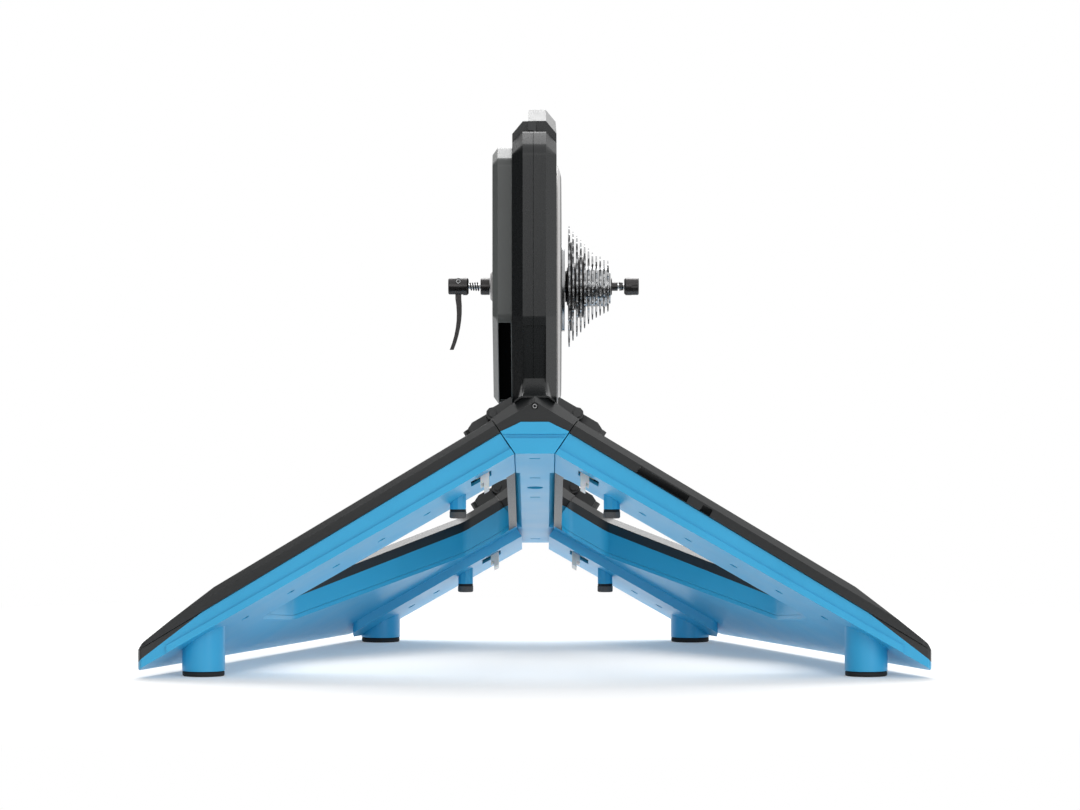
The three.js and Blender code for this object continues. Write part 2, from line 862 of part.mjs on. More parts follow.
// Hinge straps: a knuckle round the pin, an arm on the cover and a bolt boss at its end
const strapSeat = riseAt(0, partingHeight + coverDepth, topFall) + gap;

function knuckle(radius, along, length) {
  return solid(new THREE.CylinderGeometry(radius, radius, length, smallSides).translate(0, along, 0));
}

function wingStrap(along) {
  const half = knuckleLength / 2;
  const profile = new THREE.Shape();
  profile.moveTo(0, -knuckleRadius);
  profile.lineTo(strapStep, -knuckleRadius);
  profile.lineTo(strapStep, strapSeat);
  profile.lineTo(boltReach, strapSeat);
  profile.lineTo(boltReach, boltBossTop);
  profile.lineTo(strapReach, strapTop);
  profile.lineTo(0, strapTop);
  const arm = rearPrism(profile, along - half, along + half);
  const boss = upright(boltReach, along, boltBossRadius, strapSeat, boltBossTop, smallSides);
  const bore = knuckle(hingePinRadius + gap, along, knuckleLength + 2 * overrun);
  return joined([knuckle(knuckleRadius, along, knuckleLength), arm, boss]).subtract(bore);
}

// The two straps of the hub that the wing's strap turns between
function hubStraps(along) {
  const from = knuckleLength / 2 + gap;
  const to = pinHalf;
  const parts = [];
  for (const [rear, front] of [[along - to, along - from], [along + from, along + to]]) {
    parts.push(knuckle(knuckleRadius, (rear + front) / 2, front - rear));
    parts.push(box(-hubStrapReach, 0, rear, front, -hubStrapRoot, strapTop));
  }
  const bore = knuckle(hingePinRadius + gap, along, 2 * to + 2 * overrun);
  return hingePlaced(joined(parts).subtract(bore));
}

function hingePin(along) {
  const head = knuckle(pinHeadRadius, along - pinHalf - gap - pinHeadThickness / 2, pinHeadThickness);
  return knuckle(hingePinRadius, along, 2 * pinHalf + 2 * gap).add(head);
}

// A latch slides outwards in its slot to free the wing
function latch(along, floorHeight) {
  const floor = riseAt(latchReach, floorHeight, underFall);
  const half = latchAlong / 2;
  const across = latchAcross / 2;
  const footAcross = latchFootAcross / 2;
  const footBottom = floor + wingFloor + 2 * gap;
  // The tab hangs straight down, and its lower half is narrower
  const bottom = floor - latchDrop;
  const step = floor - latchDrop / 2;
  const top = footBottom + latchFootThickness / 2;
  const corner = (offset, height) => [latchReach + offset + latchLean * (floor - height), height];
  const outline = [
    corner(-across, bottom),
    corner(across - latchStep, bottom),
    corner(across - latchStep, step),
    corner(across, step),
    corner(across, top),
    corner(-across, top),
  ];
  const tab = rearPrism(roundedShape(outline, 0), along - half, along + half);
  const foot = box(
    latchReach - footAcross, latchReach + footAcross, along - half - overrun, along + half + overrun,
    footBottom, footBottom + latchFootThickness,
  );
  return tab.add(foot);
}

function footPad() {
  const radius = footRadius - footPadInset;
  return upright(0, 0, radius, 0, footPadThickness - gap, roundSides);
}

function pegTip() {
  return upright(0, 0, pegTipRadius, 0, pegTipHeight);
}

function placed(mesh, x, y, z) {
  mesh.position.set(x, y, z);
  return mesh;
}

function wing(side) {
  const group = new THREE.Group();
  group.scale.x = side === 'right' ? 1 : -1;
  piece(`wing_casting_${side}`, wingCasting(), paint, group);
  piece(`wing_cover_${side}`, wingCover(), coverPlastic, group);
  placed(piece(`foot_pad_rear_${side}`, footPad(), rubber, group), rearFootX, 0, 0);
  placed(piece(`foot_pad_front_${side}`, footPad(), rubber, group), frontFootX, frontFootY, 0);
  placed(piece(`peg_tip_rear_${side}`, pegTip(), rubber, group), pegX, rearPegY, rearPegBottom);
  placed(piece(`peg_tip_front_${side}`, pegTip(), rubber, group), pegX, frontPegY, frontPegBottom);
  const hinge = new THREE.Group();
  hinge.applyMatrix4(hingeMatrix);
  group.add(hinge);
  piece(`hinge_strap_rear_${side}`, wingStrap(rearHingeAlong), coverPlastic, hinge);
  piece(`hinge_strap_front_${side}`, wingStrap(frontHingeAlong), coverPlastic, hinge);
  piece(`hinge_pin_rear_${side}`, hingePin(rearHingeAlong), darkSteel, hinge);
  piece(`hinge_pin_front_${side}`, hingePin(frontHingeAlong), darkSteel, hinge);
  piece(`latch_rear_${side}`, latch(rearLatchAlong, underHeight), nylon, hinge);
  piece(`latch_front_${side}`, latch(frontLatchAlong, underHeight - beamDepth), nylon, hinge);
  return group;
}

stand.add(wing('left'), wing('right'));

// Centre frame

// A rear outline given for X of zero and more, completed on the other side and run along the pitch.
function pitchedPrism(half, rear, front) {
  const other = half.filter(([x]) => x > 0).map(([x, z]) => [-x, z]).reverse();
  return sheared(rearPrism(roundedShape([...half, ...other], 0), rear, front), 0, 0);
}

// A pocket or hole that follows the pitch, as a box given at the line of the rear feet.
function pitchedBox(halfX, rear, front, bottom, top) {
  return sheared(box(-halfX, halfX, rear, front, bottom, top), 0, 0);
}

function centreFrame() {
  const hubOutline = [
    [0, hubFloorZ],
    [splitTopX, hubFloorZ],
    [splitTopX, hubEdgeZ],
    [hubBrowX, hubBrowZ],
    [hubCrownX, hubCrownZ],
    [0, hubCrownZ],
  ];
  const spineOutline = [
    [0, hubFloorZ],
    [spineFlatHalf, hubFloorZ],
    [spineHalf, hubFloorZ + spineEdge],
    [spineHalf, spineTopZ],
    [0, spineTopZ],
  ];
  const spineStart = -wingRear + hubDepth;
  const spineEnd = wingFront - hubDepth;
  const rearHub = pitchedPrism(hubOutline, -wingRear, spineStart);
  const hubs = rearHub.add(pitchedPrism(hubOutline, spineEnd, wingFront));
  const spine = pitchedPrism(spineOutline, spineStart, spineEnd);
  // The spine is a channel, open on top under the motor housing
  const channel = pitchedBox(
    spineHalf - spineWall,
    spineStart + spineWall,
    spineEnd - spineWall,
    hubFloorZ + spineFloor,
    spineTopZ + overrun,
  );
  const roots = [spineStart, spineEnd].map((y) => pitchedBox(
    spineFlatHalf, y - overrun, y + overrun, hubFloorZ + spineFloor, hubBrowZ,
  ));
  let frame = joined([betweenSplits(hubs), spine, ...roots]).subtract(channel);
  const floorBottom = hubFloorZ - overrun;
  const floorTop = hubFloorZ + spineFloor + overrun;
  const opening = upright(0, axleY, spineHoleRadius, floorBottom, floorTop, roundSides);
  frame = frame.subtract(sheared(opening, 0, 0));
  const slotCentres = [axleY - spineSlotSpacing, axleY + spineSlotSpacing];
  for (const y of [...slotCentres, -wingRear + hubSlotInset, wingFront - hubSlotInset]) {
    frame = frame.subtract(
      pitchedBox(spineSlotLength / 2, y - spineSlotWidth / 2, y + spineSlotWidth / 2, floorBottom, floorTop),
    );
  }
  // The groove across the rear face
  const grooveBottom = hubGrooveTopZ - hubGrooveHeight;
  const grooveFront = -wingRear + hubGrooveDepth;
  const groove = pitchedBox(splitTopX, -wingRear - overrun, grooveFront, grooveBottom, hubGrooveTopZ);
  return frame.subtract(groove);
}

function hubCover(rear, front, along) {
  const outline = [
    [0, hubCrownZ + gap],
    [hubCrownX, hubCrownZ + gap],
    [hubBrowX, hubBrowZ + gap],
    [splitTopX, hubEdgeZ + gap],
    [splitTopX, splitTopZ],
    [hubCoverShoulderX, hubCoverShoulderZ],
    [hubCoverTopX, hubCoverTopZ],
    [0, hubCoverTopZ],
  ];
  const cover = betweenSplits(pitchedPrism(outline, rear, front));
  // The rear top edge is chamfered like the wings' covers
  const chamfers = [1, -1].map((side) => {
    const normal = new THREE.Vector3(-side * topFall, 1 - pitch, -1);
    const length = normal.length();
    const height = partingHeight + coverDepth - coverChamfer - rear;
    return [normal.normalize().toArray(), -height / length];
  });
  const chamfered = chamfers.reduce((made, [normal, offset]) => made.trimByPlane(normal, offset), cover);
  const straps = hubStraps(along);
  const housingRoom = pitchedBox(
    -housingLeft + gap, rear, front, hubCoverTopZ, hubCoverTopZ + hubStrapReach,
  );
  return chamfered.add(straps).add(mirroredX(straps)).subtract(housingRoom);
}

function mirroredX(made) {
  return solid(geometryOf(made).scale(-1, 1, 1));
}

function coverScrewSolid() {
  const head = [
    [0, 0],
    [coverScrewHead, 0],
    [coverScrewHead, coverScrewRecess],
    [coverScrewShank, coverScrewRecess],
  ];
  const profile = [...head, [coverScrewShank, coverScrewLength], [0, coverScrewLength]];
  const points = profile.map(([radius, y]) => new THREE.Vector2(radius, y));
  return solid(new THREE.LatheGeometry(points, smallSides));
}

function rearHubCover() {
  const cover = hubCover(-wingRear, -wingRear + hubDepth, rearHingeAlong);
  const boreDepth = 2 * coverScrewRecess + gap;
  const bore = new THREE.CylinderGeometry(coverScrewRadius, coverScrewRadius, 2 * boreDepth, smallSides);
  const shank = new THREE.CylinderGeometry(
    coverScrewShank + gap, coverScrewShank + gap, 2 * (coverScrewLength + coverScrewRecess + gap), smallSides,
  );
  const cut = solid(bore).add(solid(shank)).translate([0, -wingRear, coverScrewZ]);
  return cover.subtract(cut);
}

piece('centre_frame', centreFrame(), paint, stand);
piece('hub_cover_rear', rearHubCover(), coverPlastic, stand);
piece('hub_cover_front', hubCover(wingFront - hubDepth, wingFront, frontHingeAlong), coverPlastic, stand);
placed(piece('cover_screw', coverScrewSolid(), steel, stand), 0, -wingRear + coverScrewRecess, coverScrewZ);

// Motor housing

function atAxle(made) {
  return made.translate([0, axleY, axleHeight]);
}

const hubTopAt = (y) => hubCoverTopZ + gap - pitch * y;
const spineTopAt = (y) => spineTopZ + gap - pitch * y;
const hubEnd = -wingRear + hubDepth + gap;
const frontHubStart = wingFront - hubDepth - gap;

const saddleFrontY = frontHubStart;
const saddleHeight = axleHeight - rightCoverRadius - saddleClearance - spineTopAt(axleY);

// The outline runs on down past the hub and the spine, which are cut out of it afterwards
function housingCorners(rearLift, roofDrop) {
  return [
    [housingFootY, 0],
    [housingFootY, hubTopAt(housingFootY)],
    [housingRearY, axleHeight - housingWaistDrop],
    [housingRearY, axleHeight + housingRearTopRise + rearLift],
    [roofRearY, axleHeight + roofRearRise + rearLift],
    [roofPeakY, axleHeight + roofPeakRise - roofDrop],
    [roofFrontY, axleHeight + roofFrontRise - roofDrop],
    [housingFrontY, axleHeight + housingFrontTopRise],
    [housingFrontY, axleHeight - housingFrontLowDrop],
    [frontHubStart, spineTopAt(frontHubStart) + saddleHeight],
    [frontHubStart, 0],
  ];
}

function housingBody(corners) {
  return bevelledSidePrism(
    corners, housingCornerRadius, housingLeft, housingRight, housingEdgeInset, housingEdgeDepth,
  );
}

const lowCorners = housingCorners(0, leftRoofDrop + roofStep);

// The whole housing before it is split: the shell, and the saddle that straddles the spine
function housingBlank(roofDrop) {
  // The roof steps up behind its rear edge
  const low = housingBody(lowCorners);
  const high = housingBody(housingCorners(roofStep, roofDrop)).trimByPlane([0, 1, 0], roofStepY);
  const rear = -wingRear - overrun;
  const hubRoom = pitchedBox(splitTopX, rear, hubEnd, 0, hubCoverTopZ + gap);
  const spineRoom = pitchedBox(splitTopX, rear, wingFront, 0, spineTopZ + gap);
  const saddleCorners = [
    [saddleRearY, spineTopAt(saddleRearY) - saddleLap],
    [saddleRearY, spineTopAt(saddleRearY) + saddleHeight],
    [saddleFrontY, spineTopAt(saddleFrontY) + saddleHeight],
    [saddleFrontY, spineTopAt(saddleFrontY) - saddleLap],
  ];
  const saddle = sidePrism(roundedShape(saddleCorners, 0), -saddleX, saddleX);
  const from = saddleRearY - overrun;
  const to = saddleFrontY + overrun;
  const straddled = pitchedBox(spineHalf + gap, from, to, 0, spineTopZ + gap);
  const heel = [
    [housingRearY, axleHeight - housingWaistDrop],
    [housingFootY, hubTopAt(housingFootY)],
  ].map(([y, z], i) => [y, z + (i === 0 ? -heelRecessEnd : heelRecessEnd)]);
  const heelRecess = sidePrism(
    roundedShape([
      [heel[0][0] - overrun, heel[0][1]],
      [heel[0][0] + heelRecessDepth, heel[0][1]],
      [heel[1][0] + heelRecessDepth, heel[1][1]],
      [heel[1][0] - overrun, heel[1][1]],
    ], 0),
    housingLeft + housingEdgeDepth, housingRight - housingEdgeDepth,
  );
  return low.add(high).subtract(hubRoom).subtract(spineRoom).subtract(heelRecess)
    .add(saddle.subtract(straddled));
}

// Everything that passes through the two shells along the axle
function motorRoom() {
  const room = joined([
    rod(cavityRadius, housingLeft + housingWall, housingRight - housingWall, motorSides),
    rod(axleRadius + gap, housingLeft - overrun, 0),
    rod(rightCoverBore, 0, saddleX + overrun),
  ]);
  return atAxle(room);
}

function housingShell(side) {
  if (side === 'left') {
    const shell = housingBlank(leftRoofDrop).subtract(motorRoom());
    return shell.trimByPlane([-1, 0, 0], -(seamX - gap / 2));
  }
  const right = housingBlank(0).subtract(motorRoom()).trimByPlane([1, 0, 0], seamX + gap / 2);
  // A rib on the roof laps over the left shell, and runs down over the step
  const roofAt = (y) => {
    const share = (y - roofRearY) / (roofPeakY - roofRearY);
    return axleHeight + roofRearRise + roofStep + share * (roofPeakRise - roofRearRise - roofStep) - gap;
  };
  const ridge = [
    [roofRearY, roofAt(roofRearY) - 2 * roofStep],
    [roofRearY, roofAt(roofRearY) - roofStep],
    [roofStepY, roofAt(roofStepY)],
    [roofPeakY, roofAt(roofPeakY)],
    [roofPeakY, roofAt(roofPeakY) - 2 * leftRoofDrop],
  ];
  const edge = seamX + gap / 2;
  const lowRoom = sidePrism(roundedShape(inset(lowCorners, -gap), 0), housingLeft, edge);
  const highCorners = inset(housingCorners(roofStep, leftRoofDrop), -gap);
  const highRoom = sidePrism(roundedShape(highCorners, 0), housingLeft, edge)
    .trimByPlane([0, 1, 0], roofStepY - gap);
  const rib = sidePrism(roundedShape(ridge, 0), roofRibLeft, roofRibRight);
  return right.add(rib.subtract(lowRoom).subtract(highRoom));
}

piece('housing_left', housingShell('left'), shellPlastic, stand);
piece('housing_right', housingShell('right'), shellPlastic, stand);

function motorCoverLeft() {
  const corners = [
    [leftCoverRearY, -leftCoverWaistDrop],
    [leftCoverRearY, leftCoverRearTopRise],
    [leftCoverRoofY, leftCoverRoofRise],
    [leftCoverPeakY, leftCoverPeakRise],
    [leftCoverFrontTopY, leftCoverFrontTopRise],
    [leftCoverFrontY, leftCoverFrontMidRise],
    [leftCoverFrontY, -leftCoverFrontLowDrop],
    [leftCoverToeY, -leftCoverToeDrop],
    [leftCoverHeelY, -leftCoverHeelDrop],
  ].map(([y, rise]) => [y, axleHeight + rise]);
  const blank = bevelledSidePrism(
    corners, coverCornerRadius, leftCoverX, housingLeft - gap + leftCoverEdgeDepth,
    leftCoverEdgeInset, leftCoverEdgeDepth,
  ).trimByPlane([-1, 0, 0], -(housingLeft - gap));
  const boss = turned([
    [0, leftCoverX + overrun],
    [leftBossRadius, leftCoverX + overrun],
    [leftBossRadius, leftCoverX],
    [leftBossFace, leftCoverX - leftBossProud],
    [0, leftCoverX - leftBossProud],
  ]);
  const pocket = rod(leftCoverPocketRadius, leftCoverX + housingWall, housingLeft + overrun, motorSides);
  const sleeve = rod(leftBossRadius, leftCoverX, housingLeft - gap);
  const bore = rod(axleRadius + gap, leftCoverX - 2 * overrun, housingLeft + overrun);
  return blank.add(atAxle(boss)).subtract(atAxle(pocket.subtract(sleeve).add(bore)));
}

function motorCoverRight() {
  return turned([
    [rightCoverBore, housingRight + gap],
    [rightCoverRadius, housingRight + gap],
    [rightCoverRadius, housingRight + gap + rightCoverEdge / 2],
    [rightCoverRadius - rightCoverBevel, rightCoverX],
    [rightCoverBore, rightCoverX],
  ], wideSides);
}

// The motor and the hub turn about the axle line
const axleLine = new THREE.Group();
axleLine.position.set(0, axleY, axleHeight);
stand.add(axleLine);

piece('motor_cover_left', motorCoverLeft(), coverPlastic, stand);
piece('motor_cover_right', motorCoverRight(), coverPlastic, axleLine);

function polar(radius, angle) {
  return [radius * Math.cos(angle), radius * Math.sin(angle)];
}

// A flat shape in the wheel's plane, extruded along the axle
function wheelPrism(shape, left, right, curveSegments = cornerPieces) {
  return sidePrism(shape, left, right, curveSegments);
}

function ringShape(outerPoints, innerPoints) {
  const shape = new THREE.Shape(outerPoints.map(([x, y]) => new THREE.Vector2(x, y)));
  shape.holes.push(new THREE.Path(innerPoints.map(([x, y]) => new THREE.Vector2(x, y))));
  return shape;
}

function circlePoints(radius, count) {
  return Array.from({ length: count }, (unused, i) => polar(radius, (2 * Math.PI * i) / count));
}

// The wound core: a yoke, its teeth with their windings, and the flange that mounts it on the shell
function stator() {
  const step = (2 * Math.PI) / statorTeeth;
  const points = [];
  for (let i = 0; i < statorTeeth; i++) {
    const middle = i * step;
    const tip = (toothTipShare * step) / 2;
    const body = (toothBodyShare * step) / 2;
    points.push(polar(statorYokeRadius, middle - body));
    points.push(polar(statorSlotRadius, middle - body));
    points.push(polar(statorSlotRadius, middle - tip));
    points.push(polar(statorRadius, middle - tip));
    points.push(polar(statorRadius, middle + tip));
    points.push(polar(statorSlotRadius, middle + tip));
    points.push(polar(statorSlotRadius, middle + body));
    points.push(polar(statorYokeRadius, middle + body));
  }
  const core = wheelPrism(ringShape(points, circlePoints(statorBore, roundSides)), statorLeft, statorRight);
  const mount = collar(statorBore, statorMountRadius, housingLeft + housingWall + gap, statorLeft + gap);
  return core.add(mount);
}

// The rotor: a rim lined with magnets, its web, the hub tube and the flange outside the housing
function rotor() {
  const step = (2 * Math.PI) / magnetCount;
  const inner = [];
  for (let i = 0; i < magnetCount; i++) {
    const half = (magnetWidthShare * step) / 2;
    inner.push(polar(rimBore, i * step - half));
    inner.push(polar(magnetRadius, i * step - half));
    inner.push(polar(magnetRadius, i * step + half));
    inner.push(polar(rimBore, i * step + half));
  }
  const rim = wheelPrism(ringShape(circlePoints(rotorRadius, motorSides), inner), rotorLeft, rotorWeb + gap);
  const flangeStart = rightCoverX + flangeGap;
  const flangeEnd = flangeStart + flangeThickness;
  let body = rim.add(collar(rotorHubRadius, rotorRadius, rotorWeb, rotorRight, motorSides));
  body = body.add(collar(bearingOuter + gap, rotorHubRadius + gap, leftBearingX - gap, flangeEnd));
  body = body.add(collar(bearingOuter + gap, flangeRadius, flangeStart, flangeEnd, wideSides));
  for (let i = 0; i < rotorWindowCount; i++) {
    const angle = (2 * Math.PI * i) / rotorWindowCount;
    const window = satelliteRod(
      rotorWindowRadius, rotorWindowOffset, angle, rotorWeb - overrun / 2, rotorRight + overrun,
    );
    body = body.subtract(window);
  }
  for (let i = 0; i < flangeHoleCount; i++) {
    const angle = (2 * Math.PI * i) / flangeHoleCount;
    const hole = satelliteRod(
      flangeHoleRadius, flangeHoleOffset, angle, flangeStart - flangeGap / 2, flangeEnd + overrun,
    );
    body = body.subtract(hole);
  }
  return body;
}

function bearing(left) {
  const inner = axleRadius + gap;
  const right = left + bearingWidth;
  const middle = (inner + bearingOuter) / 2;
  const half = (bearingOuter - inner) / 4;
  return turned([
    [inner, left],
    [middle - half, left],
    [middle - half, left + bearingGroove],
    [middle + half, left + bearingGroove],
    [middle + half, left],
    [bearingOuter, left],
    [bearingOuter, right],
    [middle + half, right],
    [middle + half, right - bearingGroove],
    [middle - half, right - bearingGroove],
    [middle - half, right],
    [inner, right],
  ], smallSides);
}

function circuitBoard() {
  let board = collar(boardInner, boardOuter, boardX, boardX + boardThickness);
  const middle = (boardInner + boardOuter) / 2;
  const half = chipSize / 2;
  for (let i = 0; i < chipCount; i++) {
    const chip = box(boardX - chipHeight, boardX + boardThickness / 2, -half, half, middle, middle + chipSize);
    board = board.add(chip.rotate([(360 * i) / chipCount, 0, 0]));
  }
  // Pillars that stand the board off the shell behind it
  const offset = boardOuter - 2 * boardPillarRadius;
  for (let i = 0; i < boardPillars; i++) {
    const angle = (2 * Math.PI * (i + 0.5)) / boardPillars;
    board = board.add(satelliteRod(
      boardPillarRadius, offset, angle, boardX + boardThickness / 2, housingLeft - 2 * gap,
    ));
  }
  return board;
}

piece('stator', stator(), copper, axleLine);
piece('rotor', rotor(), darkSteel, axleLine);
piece('bearing_left', bearing(leftBearingX), steel, axleLine);
piece('bearing_right', bearing(rightBearingX), steel, axleLine);
piece('circuit_board', circuitBoard(), boardGreen, axleLine);
piece('hollow_axle', collar(axleBore, axleRadius, axleLeft, axleRight), steel, axleLine);

// Cassette

function splinePoints(outer, inner, share) {
  const step = (2 * Math.PI) / splineCount;
  const points = [];
  for (let i = 0; i < splineCount; i++) {
    const start = i * step;
    const end = start + share * step;
    points.push(polar(outer, start));
    points.push(polar(outer, end));
    points.push(polar(inner, end));
    points.push(polar(inner, start + step));
  }
  return points;
}

const splineClearShare = splineShare + (splineSlack * splineCount) / (Math.PI * splineRadius);

// The bore of a cog: the freehub's outline with clearance all round
function splineBore() {
  const turn = (splineSlack / splineRadius);
  const foot = splineRadius - splineDepth + gap;
  return splinePoints(splineRadius + gap, foot, splineClearShare).map(([x, y]) => [
    x * Math.cos(turn) + y * Math.sin(turn),
    y * Math.cos(turn) - x * Math.sin(turn),
  ]);
}

function freehub() {
  const start = freehubStart;
  const shoulderEnd = firstCogX - cogThickness / 2 - gap;
  const splines = splinePoints(splineRadius, splineRadius - splineDepth, splineShare);
  return rod(freehubNeckRadius, start, shoulderEnd)
    .add(rod(freehubShoulderRadius, shoulderEnd - freehubShoulder, shoulderEnd))
    .add(disc(splines, shoulderEnd - freehubShoulder / 2, freehubEnd))
    .subtract(rod(freehubBore, start - overrun, freehubEnd + overrun));
}

function toothedPoints(teeth) {
  const pitchRadius = chainPitch / 2 / Math.sin(Math.PI / teeth);
  const tip = pitchRadius + toothHeight;
  const root = pitchRadius - toothDepth;
  const step = (2 * Math.PI) / teeth;
  const points = [];
  for (let i = 0; i < teeth; i++) {
    const middle = i * step;
    points.push(polar(root, middle - (toothFootShare * step) / 2));
    points.push(polar(tip, middle));
    points.push(polar(root, middle + (toothFootShare * step) / 2));
  }
  return points;
}

function disc(points, left, right) {
  return wheelPrism(new THREE.Shape(points.map(([x, y]) => new THREE.Vector2(x, y))), left, right);
}

function cog(index) {
  const teeth = cogTeeth[index];
  const x = firstCogX + index * cogPitch;
  const left = x - cogThickness / 2;
  const right = x + cogThickness / 2;
  if (index < ringCogBores.length) {
    const bore = circlePoints(ringCogBores[index], roundSides);
    return wheelPrism(ringShape(toothedPoints(teeth), bore), left, right);
  }
  let plate = disc(toothedPoints(teeth), left, right);
  if (teeth >= cogWindowLeast) {
    const root = chainPitch / 2 / Math.sin(Math.PI / teeth) - toothDepth;
    const room = root - cogBossRadius;
    for (let i = 0; i < cogWindowCount; i++) {
      const angle = (2 * Math.PI * i) / cogWindowCount;
      const radius = (room * cogWindowShare) / 2;
      plate = plate.subtract(
        satelliteRod(radius, cogBossRadius + room / 2, angle, left - overrun, right + overrun),
      );
    }
  }
  // The spacer that reaches the next cog
  const last = index === cogTeeth.length - 1;
  if (!last) plate = plate.add(rod(cogBossRadius, x, left + cogPitch - gap, collarSides));
  return plate.subtract(disc(splineBore(), left - overrun, right + cogPitch));
}

// The arms between the two largest cogs, which hold them on the freehub
function cogCarrier() {
  const step = (2 * Math.PI) / carrierArms;
  const points = [];
  for (let i = 0; i < carrierArms; i++) {
    const half = (carrierArmShare * step) / 2;
    const narrow = half * carrierNeckShare;
    points.push(polar(carrierHub, i * step - step / 2));
    points.push(polar(carrierHub, i * step - half));
    points.push(polar(carrierReach, i * step - narrow));
    points.push(polar(carrierReach, i * step + narrow));
    points.push(polar(carrierHub, i * step + half));
  }
  const left = firstCogX + cogThickness / 2 + gap;
  const right = firstCogX + cogPitch - cogThickness / 2 - gap;
  const hubLeft = firstCogX - cogThickness / 2;
  const hubRight = firstCogX + 2 * cogPitch - cogThickness / 2 - gap;
  return disc(points, left, right)
    .add(rod(carrierHub, hubLeft, hubRight))
    .subtract(disc(splineBore(), hubLeft - overrun, hubRight + overrun));
}

function lockring() {
  const left = freehubEnd + gap;
  const step = (2 * Math.PI) / lockringNotches;
  const points = [];
  for (let i = 0; i < lockringNotches; i++) {
    const half = (lockringNotchShare * step) / 2;
    points.push(polar(lockringBore + lockringNotchDepth, i * step - half));
    points.push(polar(lockringBore + lockringNotchDepth, i * step + half));
    points.push(polar(lockringBore, i * step + half));
    points.push(polar(lockringBore, (i + 1) * step - half));
  }
  return wheelPrism(ringShape(circlePoints(lockringRadius, roundSides), points), left, left + lockringLength);
}

piece('freehub_body', freehub(), darkSteel, axleLine);
piece('cog_carrier', cogCarrier(), darkSteel, axleLine);
cogTeeth.forEach((teeth, index) => piece(`cog_${teeth}`, cog(index), steel, axleLine));
piece('cassette_lockring', lockring(), steel, axleLine);

// Axle ends

function axleCapLeft() {
  const right = axleLeft - gap;
  const left = right - leftCapLength;
  return turned([
    [axleBore, left],
    [leftCapRadius - capChamfer, left],
    [leftCapRadius, left + capChamfer],
    [leftCapRadius, right],
    [axleBore, right],
  ]);
}

function axleCapRight() {
  const left = axleRight + gap;
  const flangeEnd = left + rightCapFlange;
  return turned([
    [axleBore, left],
    [rightCapRadius, left],
    [rightCapRadius, flangeEnd],
    [rightCapNoseRadius, flangeEnd],
    [rightCapNoseRadius, flangeEnd + rightCapNose],
    [axleBore, flangeEnd + rightCapNose],
  ]);
}

piece('axle_cap_left', axleCapLeft(), darkSteel, axleLine);
piece('axle_cap_right', axleCapRight(), darkSteel, axleLine);

// Quick release

// A conical spring of round wire about the axle line
function coneSpring(from, to, fromRadius, toRadius, turns) {
  class Helix extends THREE.Curve {
    getPoint(t, target = new THREE.Vector3()) {
      const radius = fromRadius + (toRadius - fromRadius) * t;
      const angle = 2 * Math.PI * turns * t;
      return target.set(from + (to - from) * t, radius * Math.cos(angle), radius * Math.sin(angle));
    }
  }
  const section = new THREE.Shape(
    Array.from({ length: springSides }, (unused, i) => {
      const [x, y] = polar(springWire, (2 * Math.PI * i) / springSides);
      return new THREE.Vector2(x, y);
    }),
  );
  const settings = { steps: springSteps * turns, bevelEnabled: false, extrudePath: new Helix() };
  return solid(new THREE.ExtrudeGeometry(section, settings));
}

const springSeat = springWire + gap;
const springFoot = springWire + springClearance;

function skewerHead() {
  const chamfer = nutChamfer / 2;
  const body = turned([
    [0, headOuter],
    [headRadius - chamfer, headOuter],
    [headRadius, headOuter + chamfer],
    [headRadius, headInner - nutChamfer],
    [headRadius - nutChamfer, headInner],
    [0, headInner],
  ]);
  const reach = headRadius + overrun;
  const slot = box(headOuter - overrun, headSlotFloor, -headSlotWidth / 2, headSlotWidth / 2, -reach, reach);
  const rodBore = rod(skewerRadius + gap, headSlotFloor - overrun, headInner + overrun);
  const pinBoreRadius = camPinRadius + gap;
  const pinBoreGeometry = new THREE.CylinderGeometry(pinBoreRadius, pinBoreRadius, 2 * reach, smallSides);
  const pinHole = solid(pinBoreGeometry.translate(camX, 0, camRise));
  return body.subtract(slot).subtract(rodBore).subtract(pinHole);
}

// The lever hangs from its cam pin and bows away from the motor towards its tip
function lever() {
  const shape = new THREE.Shape();
  const neckEnd = -leverNeckLength;
  const tipEnd = neckEnd - leverBladeLength;
  shape.moveTo(-leverNeckHalf, 0);
  shape.lineTo(-leverNeckHalf, neckEnd);
  shape.quadraticCurveTo(
    leverBow - leverTipHalf, neckEnd - leverBladeLength / 2, -leverOutset - leverTipHalf, tipEnd,
  );
  shape.lineTo(-leverOutset + leverTipHalf, tipEnd);
  shape.quadraticCurveTo(leverBow + leverTipHalf, neckEnd - leverBladeLength / 2, leverNeckHalf, neckEnd);
  shape.lineTo(leverNeckHalf, 0);
  const half = leverThickness / 2;
  const settings = { depth: leverThickness, bevelEnabled: false, curveSegments: leverPieces };
  const arm = solid(new THREE.ExtrudeGeometry(shape, settings).translate(0, 0, -half).applyMatrix4(alongY));
  const eye = solid(new THREE.CylinderGeometry(camEye, camEye, leverThickness, smallSides));
  const pinLength = 2 * Math.sqrt(headRadius ** 2 - camRise ** 2) + camPinProud;
  const pin = solid(new THREE.CylinderGeometry(camPinRadius, camPinRadius, pinLength, smallSides));
  return joined([arm, eye, pin]);
}

